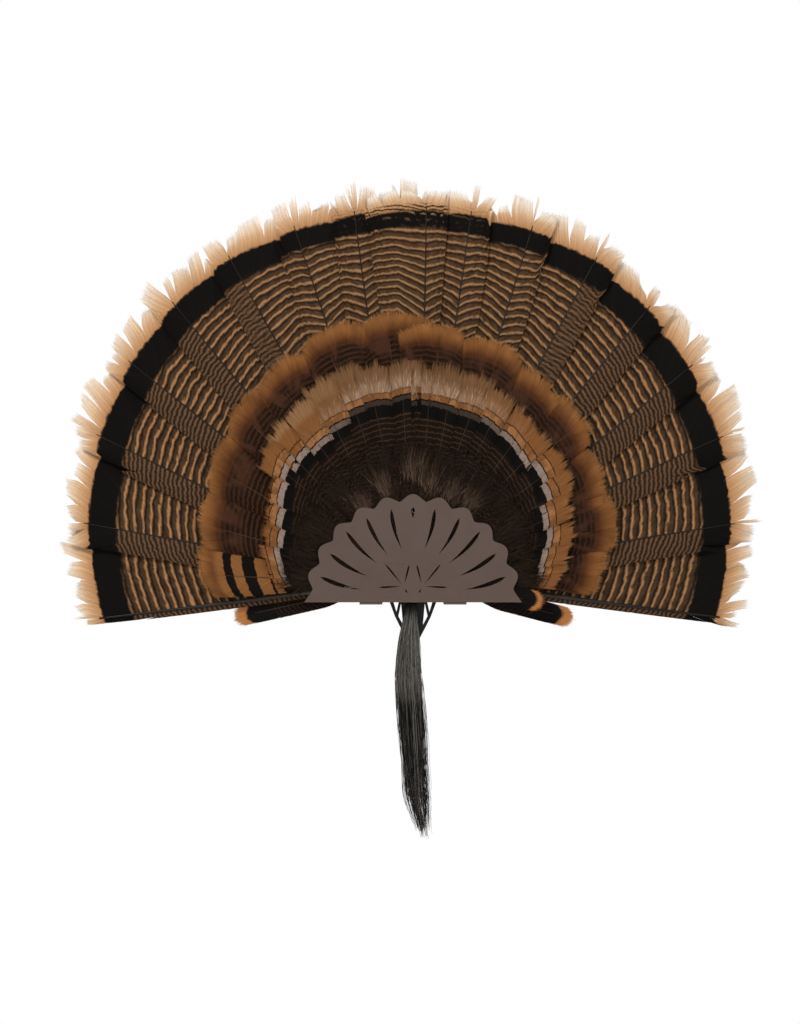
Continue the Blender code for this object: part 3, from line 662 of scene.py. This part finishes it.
def tail_material():
    """Wavy or straight bars, then a black band and a tip that pales towards its edge, partly its own
    buff colour and partly painted backlight.
    """
    graph = FeatherGraph("tail_vane")
    away = graph.math("ABSOLUTE", graph.across)
    steep = graph.times(graph.minus(1, graph.style), graph.step(graph.gap, 50, 125))
    position = graph.total(
        graph.gap, (graph.math("MINIMUM", away, 28), graph.times(steep, 0.62, 0.04)),
        (away, 0.06), (graph.slow, 7), (graph.wander, graph.times(graph.style, 0.6, 3)),
        (graph.noise(graph.vector(graph.barb, 0, 0), 0.8), 1.6))
    broad = graph.bars(graph.minus(position, 1.1), 9.2, 0.58, 0.16, 0.5)
    narrow = graph.bars(position, 9.2, 0.24, 0.14, 0.5)
    narrow = graph.times(narrow, graph.step(graph.wander, -0.36, -0.05))
    rim = graph.mix(graph.style, (34, 22, 14), (24, 16, 11))
    field = graph.mix(graph.style, (72, 51, 33), (63, 45, 30))
    field = graph.brighten(field, graph.times(graph.wander, 1.6, 1))
    field = graph.ramp(graph.speckle, 0.04, 0.2, field, (104, 76, 52))
    bright = graph.mix(graph.style, (158, 118, 82), (170, 124, 84))
    bright = graph.ramp(graph.speckle, 0.02, 0.24, bright, (98, 68, 44))
    inner = graph.mix(narrow, graph.mix(broad, field, rim), bright)
    fine = graph.bars(graph.times(away, -0.34, position), 5.2, 0.42, 0.2, 0.5)
    outer = graph.mix(fine, (42, 29, 19), (104, 76, 54))
    dull = graph.times(graph.step(graph.across, 0, 1.2), graph.step(graph.style, 0.3, 0.7))
    fade = graph.times(graph.step(graph.gap, 110, 260), -0.22, 1)
    barred = graph.brighten(graph.mix(dull, inner, outer), fade)

    ragged = graph.total(graph.gap, (graph.wander, 5), (graph.speckle, 2.5))
    past = graph.minus(ragged, graph.times(graph.style, 13, 46))
    middle = graph.step(graph.style, 0.25, 0.1)
    patch = graph.times(middle, graph.step(graph.wander, 0, 0.12))
    broken = graph.times(patch, graph.bars(position, 6, 0.3, 0.14, 0.8))
    band = graph.times(graph.step(ragged, 28, 30), graph.step(past, 2.5, -2.5))
    band = graph.times(band, graph.minus(1, broken))

    # The paler colours towards the tip's edge, here and in the tip below, are partly the tip's own buff
    # and partly painted backlight: the light that would shine through a thin tip
    pale = graph.mix(graph.style, (234, 222, 208), (222, 200, 176))
    freckle = graph.bars(graph.times(away, 0.08, position), 3.8, 0.5, 0.2, 1.2)
    freckle = graph.times(freckle, graph.step(ragged, 19, 23))
    tip = graph.paint(
        (176, 126, 82),
        (graph.gap, 30, 12, (204, 166, 128)),
        (graph.gap, 18, 3, pale),
        (graph.speckle, 0, 0.3, (140, 102, 70)))
    tip = graph.mix(graph.times(freckle, middle), tip, (34, 22, 15))
    barred = graph.mix(band, barred, (14, 11, 9))
    return graph.finish(graph.ramp(ragged, 29, 27, barred, tip), 0.62, 0.4)


def greater_material():
    """Rust tips over brown with patches of painted purple sheen; a feather of style 1 has black stripes
    below its tip.
    """
    graph = FeatherGraph("greater_covert")
    position = graph.times(graph.wander, 4, graph.gap)
    lines = graph.bars(position, 5.6, 0.3, 0.16, 0.5)
    base = graph.mix(lines, (28, 16, 9), (66, 40, 23))
    # purple: painted iridescent sheen, patches of the purple that the brown feathers show in the light
    purple = graph.ramp(graph.slow, -0.1, 0.12, (36, 21, 13), (66, 40, 27))
    rust = graph.paint(
        (86, 49, 25),
        (position, 24, 6, (124, 80, 42)),
        (graph.gap, 6, 0, (152, 108, 68)))
    rust = graph.brighten(rust, graph.times(graph.slow, 1.3, 0.97))
    plain = graph.paint(
        base,
        (graph.slow, -0.25, 0.25, purple),
        (position, 38, 56, base),
        (position, 31, 17, rust))
    striped = graph.ramp(position, 16, 24, rust, (128, 84, 46))
    for start, width in ((29, 10), (49, 14), (75, 4), (86, 30)):
        stripe = graph.times(graph.step(position, start, start + 1),
                             graph.step(position, start + width, start + width - 1))
        striped = graph.mix(stripe, striped, (15, 11, 9))
    return graph.finish(graph.mix(graph.style, plain, striped), 0.6, 0.26)


def lesser_material():
    """Bands from the tip inwards: pale fringe, orange, cream, black, then barred dark brown."""
    graph = FeatherGraph("lesser_covert")
    position = graph.total(graph.gap, (graph.wander, 4), (graph.speckle, 1.4))
    top = graph.minus(1, graph.style)
    inwards = graph.minus(position, graph.times(graph.style, 4.5, 42.5))
    lines = graph.bars(position, 6.2, 0.17, 0.09, 0.3)
    cream = graph.ramp(graph.speckle, -0.2, 0.2, (96, 80, 70), (168, 144, 130))
    cream = graph.ramp(graph.style, 0.35, 0.85, (56, 45, 37), cream)
    orange = graph.ramp(graph.slow, -0.1, 0.12, (118, 76, 42), (148, 102, 64))
    edge = graph.minus(position, graph.times(top, 5.5, 25.5))
    streaks = graph.noise(graph.vector(graph.barb, graph.times(graph.gap, 0.08), 0), 0.75, 2, 0.6)
    glints = graph.times(graph.step(streaks, 0, 0.26), graph.step(position, 6, 20))
    hairy = graph.ramp(position, 24, 12, (132, 102, 78), (104, 74, 48))
    hairy = graph.mix(glints, hairy, (198, 172, 152))
    plain = graph.ramp(graph.gap, 10, 0, (122, 78, 42), (134, 98, 66))
    colour = graph.paint(
        graph.mix(lines, (24, 16, 11), (70, 47, 28)),
        (inwards, 15, 13.5, (12, 9, 8)),
        (inwards, 1, 0, cream),
        (position, 39.2, 38.4, (20, 14, 11)),
        (position, 37.4, 36.6, orange),
        (edge, 1.9, 1.1, graph.mix(top, (40, 26, 17), (104, 72, 48))),
        (edge, 0.4, -0.4, graph.ramp(graph.style, 0.25, 0.85, hairy, plain)))
    return graph.finish(colour, 0.6, 0.34)


def rump_material(name, tip_colour, tip_length):
    """Nearly black brown with thin rusty bars, and a coloured tip if it has any length."""
    graph = FeatherGraph(name)
    position = graph.times(graph.wander, 7, graph.gap)
    lines = graph.bars(position, 4.8, 0.2, 0.14, 0.4)
    colour = graph.paint(
        graph.mix(lines, (20, 13, 9), (54, 36, 23)),
        (position, tip_length + 30, tip_length + 24, (17, 14, 13)),
        (position, tip_length, tip_length - 4, tip_colour))
    return graph.finish(colour, 0.62, 0.4)


def rachis_material():
    graph = Graph("rachis")
    share, tone, _ = graph.attribute("detail")
    mottle = graph.noise(graph.position(), 120, 3)
    dark = graph.ramp(share, 0.3, 0.8, (46, 40, 37), (22, 17, 14))
    dark = graph.ramp(share, 0.02, 0.34, (132, 126, 118), dark)
    colour = graph.mix(tone, dark, (74, 48, 30))
    colour = graph.brighten(colour, graph.times(mottle, 0.8, 1))
    graph.bump(mottle, 0.1 * MM, 0.4)
    return graph.surface(colour, 0.42, 0.22)


def down_material():
    """Loose down: dark, but paler near the root in the tufts."""
    graph = Graph("down")
    share, chance, pale = graph.attribute("detail")
    rise = graph.times(graph.step(share, 0, 0.15), graph.step(share, 0.85, 0.1))
    bright = graph.mix(chance, (44, 33, 25), (112, 90, 74))
    dark = graph.mix(chance, (20, 13, 9), (44, 32, 23))
    return graph.surface(graph.mix(graph.times(rise, pale), dark, bright), 0.75)


def bristle_material():
    """Grey near the top and black below, with some pale bristles all the way down."""
    graph = Graph("bristle")
    share, chance, _ = graph.attribute("detail")
    mottle = graph.noise(graph.position(), 60, 3)
    level = graph.times(graph.minus(chance, 0.5), 0.09, share)
    black = graph.ramp(chance, 0.58, 0.92, (23, 22, 22), (112, 106, 100))
    colour = graph.paint(
        graph.mix(chance, (74, 71, 66), (126, 122, 115)),
        (level, 0.35, 0.41, black),
        (level, 0.12, 0, (44, 42, 36)))
    colour = graph.brighten(colour, graph.times(mottle, 0.7, 1))
    return graph.surface(colour, 0.5, 0.2)


def metal_material(name, colour, roughness, grain, relief, specular, metallic=0):
    """Painted or plated metal with a fine grain in its colour, gloss and surface."""
    graph = Graph(name)
    fine = graph.noise(graph.position(), grain, 3, 0.6)
    cloudy = graph.noise(graph.position(), 35, 3)
    tone = graph.total(1, (fine, 0.4), (cloudy, 0.22))
    graph.bump(fine, relief, 0.8)
    worn = graph.times(cloudy, 0.18, roughness)
    return graph.surface(graph.brighten(colour[:3], tone), worn, specular, metallic)


def root_material():
    graph = Graph("dried_root")
    lumps = graph.noise(graph.position(), 90, 5, 0.6)
    graph.bump(lumps, 1.2 * MM, 0.9)
    colour = graph.ramp(lumps, -0.2, 0.2, (70, 52, 38), (128, 98, 70))
    return graph.surface(colour, 0.75, 0.3)


# ---- the fan

def stand_for(piece, body, slot, *nodes):
    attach(piece, body)
    if nodes:
        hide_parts(*nodes)


def tier_nodes(prefix):
    """A tier's solids: name, side, number from the middle outwards and how many a side."""
    count = sum(name.startswith(prefix + "_left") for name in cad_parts)
    for side, name in SIDES:
        for number in range(count):
            yield "%s_%s_%d" % (prefix, name, number + 1), side, number, count


def feather_piece(name, slot, looks, feathers, *nodes):
    """One piece made of feathers, each with its random source and the seed of its pattern."""
    data = MeshData()
    for feather, rng, seed in feathers:
        for sign in (-1, 1):
            vane(data, feather, sign, rng, seed)
        rachis(data, feather)
    stand_for(data.make(name, looks), "bracket", slot, *nodes)


def tail_reach(degrees):
    fall = max(0, degrees - TAIL_FALL_START) / (TAIL_DIRECTIONS[-1] - TAIL_FALL_START)
    return FAN_RADIUS - TAIL_FALL * fall ** TAIL_FALL_POWER


def tip_trim(side, degrees):
    """How far a tail tip reaches past its solid; the right side of the fan is shorter."""
    if side < 0:
        return TIP_LONGER
    return TIP_LONGER - RIGHT_TIP_LOSS * smooth((degrees - RIGHT_TIP_LOSS_FROM) / RIGHT_TIP_LOSS_OVER)


def tail_feathers(*looks):
    gaps = np.radians(np.diff(TAIL_DIRECTIONS))
    for node, side, number, count in tier_nodes("tail_feather"):
        degrees = TAIL_DIRECTIONS[number]
        root_pitch = (TAIL_DIRECTIONS[-1] - TAIL_DIRECTIONS[0]) / (count - 0.5)
        seed = number + (20 if side > 0 else 0)
        rng = np.random.default_rng(100 + seed)
        on_top = number == 0 and side > 0
        last = number == count - 1
        gap_out = gaps[min(number, count - 2)]
        if number == 0:
            widths = centre_widths(TOP_CENTRE_SHARE if on_top else UNDER_CENTRE_SHARE, gap_out)
        else:
            widths = tier_widths(gaps[number - 1], gap_out, LOWEST_OUTER_VANE if last else OUTER_VANE)
        feather = Feather(
            side, degrees, tail_reach(degrees) + tip_trim(side, degrees), widths,
            root_degrees=root_pitch * (number + 0.5), root_radius=TAIL_ROOT_RADIUS,
            offset=TAIL_CENTRE_LIFT if on_top else 0, tilt=0 if on_top else TAIL_TILT,
            lean=edge_lean(tail_reach, degrees), quill=3.4 * MM if last else 1.9 * MM,
            rachis_end=0.9 * MM if last else 0.45 * MM, style=TAIL_STYLES[number],
            bow=rng.uniform(-2.5, 2.5) * MM)
        feather_piece(node + "_vane", "tail_vane", looks, [(feather, rng, seed)], node)


def covert_reach(reach, fall):
    def reach_at(degrees):
        return reach - fall * (degrees / 90) ** COVERT_FALL_POWER
    return reach_at


def greater_coverts(*looks):
    reach_at = covert_reach(GREATER_REACH, GREATER_FALL)
    for node, side, number, count in tier_nodes("greater_covert"):
        pitch = COVERT_SPREAD / count
        degrees = pitch * (number + 0.5)
        seed = 50 + number + (20 if side > 0 else 0)
        rng = np.random.default_rng(200 + seed)
        on_top = number == 0 and side > 0
        striped = number == count - 1 and side < 0
        feather = Feather(
            side, degrees + rng.uniform(-1.5, 1.5),
            reach_at(degrees) + (rng.uniform(-6, 6) + GREATER_LONGER[side]) * MM,
            even_widths(pitch, COVERT_OUTER_VANE), root_degrees=degrees,
            offset=GREATER_OFFSET + (COVERT_CENTRE_LIFT if on_top else 0),
            tilt=0 if on_top else COVERT_TILT, lean=edge_lean(reach_at, degrees),
            bow=rng.uniform(-3, 3) * MM, style=1 if striped else 0, **GREATER_BARBS)
        feather_piece(node + "_vane", "greater_covert", looks, [(feather, rng, seed)], node)


def band_dip(side, degrees):
    """How far inwards the bands of a lesser covert lie, in millimetres."""
    return sum(depth * math.exp(-((degrees - middle) / spread) ** 2)
               for at_side, middle, spread, depth in BAND_DIPS if at_side == side)


def small_covert(side, degrees, pitch, rng):
    """One of the three feathers that a lesser covert's solid stands for."""
    reach_at = covert_reach(LESSER_REACH, LESSER_FALL)
    short = side < 0 and degrees > LOW_LEFT_FROM
    longer = 0 if side > 0 or short else UPPER_LEFT_LONGER * smooth(degrees / UPPER_LEFT_FULL)
    stretch = 1 + BANDS_STRETCH * degrees / 90
    dip = band_dip(side, degrees) + longer / MM
    near_top = 1 - degrees / COVERT_SPREAD
    return Feather(
        side, degrees + rng.uniform(-1.2, 1.2),
        reach_at(degrees) + rng.uniform(-5, 4) * MM + (-LOW_LEFT_SHORTER if short else longer),
        even_widths(pitch, COVERT_OUTER_VANE), root_degrees=degrees, offset=LESSER_OFFSET,
        tilt=LESSER_TILT, lean=edge_lean(reach_at, degrees) + rng.uniform(-0.13, 0.13),
        bow=rng.uniform(-1.5, 1.5) * MM, hair=(2 * MM, (3 + 10 * near_top) * MM),
        style=min(1, degrees / BANDS_STRAIGHT_FROM), stretch=stretch,
        shift=rng.uniform(-2.4, 2.4) + (LOW_LEFT_SHIFT if short else 0) - dip * stretch,
        **LESSER_BARBS)


def lesser_coverts(*looks):
    """Each solid stands for three small feathers, which overlap like tiles."""
    for node, side, number, count in tier_nodes("lesser_covert"):
        pitch = COVERT_SPREAD / count
        small = pitch / LESSER_SPLIT
        feathers = []
        for part in range(LESSER_SPLIT):
            seed = 100 + number * LESSER_SPLIT + part + (40 if side > 0 else 0)
            rng = np.random.default_rng(300 + seed)
            degrees = pitch * number + small * (part + 0.5)
            feathers.append((small_covert(side, degrees, small, rng), rng, seed))
        feather_piece(node + "_vanes", "lesser_covert", looks, feathers, node)


def side_coverts(*looks):
    def widths(distance):
        width = 8.5 * MM * smooth((distance - 50 * MM) / (50 * MM)) + 2.5 * MM
        return width, width

    for number, (node, (side, degrees, reach, offset)) in enumerate(SIDE_COVERTS.items()):
        feather = Feather(
            side, degrees, reach, widths, root_degrees=degrees, root_radius=SIDE_COVERT_ROOT,
            offset=offset, tilt=0, shift=5 if node.endswith("upper") else 0, **SIDE_BARBS)
        grown_from = [(feather, np.random.default_rng(400 + number), 180 + number)]
        feather_piece(node + "_vane", "greater_covert", looks, grown_from, node)


def rump_feathers(*looks):
    """Two rows of short dark feathers that hide the roots of the tiers."""
    feathers = []
    for row, (count, reach, offset) in enumerate(RUMP_ROWS):
        pitch = RUMP_SPREAD / count
        reach_at = covert_reach(reach, RUMP_FALL)
        for side, _ in SIDES:
            for number in range(count):
                seed = 200 + row * 40 + number + (20 if side > 0 else 0)
                rng = np.random.default_rng(500 + seed)
                degrees = pitch * (number + 0.5)
                feather = Feather(
                    side, degrees + rng.uniform(-1.5, 1.5),
                    reach_at(degrees) + rng.uniform(-6, 4) * MM,
                    even_widths(pitch, RUMP_OUTER_VANE), root_degrees=degrees, offset=offset,
                    **RUMP_BARBS)
                feathers.append((feather, rng, seed))
    feather_piece("rump_feathers", "down", looks, feathers, "rump_down")


def down_strands(rng, degrees, start, length, spread, curl, depth, width, pale):
    """Curved strands that leave the root at an angle from vertical; returns ribbon arrays."""
    count = len(degrees)
    points = 7
    share = np.linspace(0, 1, points)
    heading = (degrees + rng.normal(0, spread, count))[:, None]
    heading = np.radians(heading + rng.normal(0, curl, count)[:, None] * share)
    stride = length[:, None] / (points - 1)
    x = ROOT_CENTRE[0] + (start * np.sin(np.radians(degrees)))[:, None]
    z = ROOT_CENTRE[1] + (start * np.cos(np.radians(degrees)))[:, None]
    x = x + np.cumsum(stride * np.sin(heading), axis=1)
    z = z + np.cumsum(stride * np.cos(heading), axis=1)
    bulge = np.sin(share * math.pi) * rng.uniform(0, 1.8 * MM, count)[:, None]
    paths = stacked(x, -(depth[:, None] + bulge), z)
    widths = rng.uniform(*width, count)[:, None] * (1 - 0.85 * share)
    details = stacked(share, rng.uniform(0, 1, count)[:, None], pale)
    return paths, widths, details


def rump_fluff(look):
    """Dark down all round the front plate, with paler tufts above it."""
    rng = np.random.default_rng(77)
    data = MeshData()
    count = FLUFF_STRANDS
    degrees = rng.uniform(-RUMP_SPREAD, RUMP_SPREAD, count)
    clumped = degrees + 4 * np.sin(np.radians(degrees * 14))
    ribbons(data, *down_strands(
        rng, clumped, rng.uniform(52, 112, count) * MM, rng.uniform(12, 30, count) * MM,
        16, 22, rng.uniform(35.6, 38.8, count) * MM, (0.5 * MM, 1.3 * MM), 0))
    count = TUFT_STRANDS
    for middle, start, size in TUFTS:
        spots = rng.normal(middle, 2.6, count)
        ribbons(data, *down_strands(
            rng, spots, rng.normal(start, 5, count) * MM, rng.uniform(0.5, 1.1, count) * size * MM,
            10, 18, rng.uniform(38.2, 39.2, count) * MM, (0.2 * MM, 0.45 * MM), 1))
    stand_for(data.make("rump_fluff", [look]), "bracket", "down")


# ---- the beard

def ring_sections(node):
    """Height, centre and half-size of each ring of a lofted solid, from top to bottom."""
    corners = np.array([vert.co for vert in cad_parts[node].data.vertices])
    levels = np.unique(np.round(corners[:, 2], 4))[::-1]
    rows = []
    for level in levels:
        ring = corners[np.abs(corners[:, 2] - level) < 0.2 * MM]
        low = ring.min(axis=0)
        high = ring.max(axis=0)
        rows.append([level, *(low[:2] + high[:2]) / 2, *(high[:2] - low[:2]) / 2])
    return np.array(rows)


def beard(look):
    """Bristles that follow the solid's sections, gather into locks and end at many heights."""
    sections = ring_sections("beard_bristles")
    rng = np.random.default_rng(5)
    data = MeshData()
    top = sections[0, 0]
    fall = top - sections[-1, 0]
    locks = rng.uniform(0, math.tau, LOCKS)
    lock_drift = rng.normal(0.8 * MM, 2.6 * MM, LOCKS)
    lock_end = rng.uniform(0.9, 1, LOCKS)
    for _ in range(BRISTLES):
        angle = rng.uniform(0, math.tau)
        ring = math.sqrt(rng.uniform(0.03, 1))
        chance = rng.uniform()
        stray = rng.uniform() < STRAYS
        if stray:
            angle = rng.uniform(-0.7, 0.7)
        nearest = int(np.argmin(np.abs(np.angle(np.exp(1j * (locks - angle))))))
        if rng.uniform() < SHORT_BRISTLES:
            end = rng.uniform(0.3, 0.75)
        else:
            end = 1 - 0.22 * rng.uniform() ** 1.3
        end *= lock_end[nearest]
        share = np.linspace(0, end, BRISTLE_POINTS)
        level = top - fall * share
        centre_x, centre_y, half_x, half_y = [
            np.interp(-level, -sections[:, 0], sections[:, column]) for column in range(1, 5)]
        lock = locks[nearest]
        pull = 0.75 * smooth(share / 0.9)
        spin = angle + pull * np.angle(np.exp(1j * (lock - angle))) + 0.3 * waves(rng, share, 0.8, 2)
        loose = 1 + 0.1 * waves(rng, share, 0.35, 3) + rng.normal(0.1, 0.45) * share ** 3
        size = ring * loose
        if stray:
            size = size + 0.45 * smooth((share - 0.15) / 0.4)
        drift = (lock_drift[nearest] + rng.normal(0, 1.4 * MM)) * smooth((share - 0.55) / 0.45)
        x = centre_x + np.maximum(half_x, 2.6 * MM) * size * np.cos(spin) + drift
        y = centre_y + np.maximum(half_y, 2.2 * MM) * size * np.sin(spin)
        radii = rng.uniform(0.22, 0.4) * MM * (1 - 0.5 * (share / end) ** 2)
        tube(data, np.stack([x, y, level], axis=-1), radii, 0, stacked(share, chance, 0), 3)
    stand_for(data.make("beard_strands", [look]), "beard", "bristle", "beard_bristles")


# ---- bracket

def refined(node, body, slot, look, bevel):
    """A copy of a metal solid with its edges eased and its round faces smooth."""
    bm = bmesh.new()
    bm.from_mesh(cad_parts[node].data)
    bmesh.ops.remove_doubles(bm, verts=bm.verts, dist=0.005 * MM)
    bmesh.ops.dissolve_limit(bm, angle_limit=math.radians(1), verts=bm.verts, edges=bm.edges)
    mesh = bpy.data.meshes.new(node + "_finished")
    bm.to_mesh(mesh)
    bm.free()
    mesh.materials.clear()
    mesh.materials.append(look)
    mesh.shade_smooth()
    mesh.set_sharp_from_angle(angle=math.radians(40))
    piece = linked(node + "_finished", mesh)
    edge = piece.modifiers.new("eased", "BEVEL")
    edge.width = bevel
    edge.segments = 2
    edge.angle_limit = math.radians(50)
    edge.harden_normals = True
    stand_for(piece, body, slot, node)


def bracket(brown, black, zinc):
    refined("front_plate", "bracket", "powder_coat", brown, 0.3 * MM)
    refined("back_plate", "bracket", "powder_coat", brown, 0.2 * MM)
    refined("beard_hanger", "hanger", "black_steel", black, 0.2 * MM)
    refined("beard_cap", "beard", "black_steel", black, 0.1 * MM)
    plated = ["beard_rivet"]
    for name in ("left", "centre", "right"):
        plated += ["standoff_" + name, "clamp_screw_" + name]
    for node in plated:
        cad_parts[node].data.materials[0] = zinc


# ---- stage

def floor():
    bpy.ops.mesh.primitive_circle_add(
        vertices=96, radius=FLOOR_RADIUS, fill_type="NGON", location=(0, 0, FLOOR_HEIGHT))
    disc = bpy.context.object
    disc.name = "studio_floor"
    graph = Graph("studio_floor")
    glow = graph.times(graph.camera_rays(), FLOOR_GLOW)
    graph.feed(graph.shader.inputs["Emission Color"], srgb(255, 255, 255))
    graph.feed(graph.shader.inputs["Emission Strength"], glow)
    disc.data.materials.append(graph.surface(srgb(246, 246, 244), 0.8))


def area_light(name, place, size, power):
    light = bpy.data.lights.new(name, "AREA")
    light.shape = "DISK"
    light.size = size
    light.energy = power
    lamp = linked(name, light)
    lamp.location = place
    lamp.rotation_euler = (Vector(LIGHT_TARGET) - Vector(place)).to_track_quat("-Z", "Y").to_euler()


def white_world():
    """A world that looks white but lights the scene with less than it shows."""
    world = bpy.data.worlds.new("studio")
    world.use_nodes = True
    tree = Tree(world.node_tree)
    sky = world.node_tree.nodes["Background"]
    strength = tree.math("MULTIPLY_ADD", tree.camera_rays(), 1 - AMBIENT, AMBIENT)
    tree.feed(sky.inputs["Color"], (1, 1, 1, 1))
    tree.feed(sky.inputs["Strength"], strength)
    return world


def studio():
    scene = bpy.context.scene
    scene.view_settings.view_transform = "Standard"
    scene.world = white_world()
    for light in LIGHTS:
        area_light(*light)
    floor()
    camera = bpy.data.cameras.new("camera")
    camera.lens = LENS
    camera.sensor_width = SENSOR
    eye = linked("camera", camera)
    distance = VIEW_HEIGHT * LENS / SENSOR
    eye.location = (VIEW_CENTRE[0], -distance - 0.03, VIEW_CENTRE[1])
    eye.rotation_euler = (math.radians(90), 0, 0)
    scene.camera = eye


# ---- assembly

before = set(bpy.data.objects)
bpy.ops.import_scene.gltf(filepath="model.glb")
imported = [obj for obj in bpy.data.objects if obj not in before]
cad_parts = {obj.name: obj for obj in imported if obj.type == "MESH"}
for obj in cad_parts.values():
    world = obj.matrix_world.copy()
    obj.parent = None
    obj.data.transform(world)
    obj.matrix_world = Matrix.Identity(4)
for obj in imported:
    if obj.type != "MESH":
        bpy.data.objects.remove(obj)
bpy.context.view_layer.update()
root_low, root_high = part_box("tail_base")
ROOT_CENTRE = np.array([(root_low.x + root_high.x) / 2, root_high.z - ROOT_RISE])
FAN_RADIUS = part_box("tail_feather_left_1")[1].z - ROOT_CENTRE[1]

shaft_look = rachis_material()
tail_feathers(tail_material(), shaft_look)
greater_coverts(greater_material(), shaft_look)
lesser_coverts(lesser_material(), shaft_look)
side_coverts(rump_material("side_covert", (172, 112, 62), 16), shaft_look)
rump_feathers(rump_material("rump_feather", (28, 19, 14), -30), shaft_look)
rump_fluff(down_material())
beard(bristle_material())
bracket(metal_material("powder_coat", srgb(84, 69, 61), 0.6, 900, 0.12 * MM, 0.25),
        metal_material("black_steel", srgb(20, 20, 20), 0.45, 700, 0.05 * MM, 0.25),
        metal_material("zinc", srgb(178, 178, 172), 0.32, 500, 0.03 * MM, 0.5, 1))
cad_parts["tail_base"].data.materials[0] = root_material()
studio()
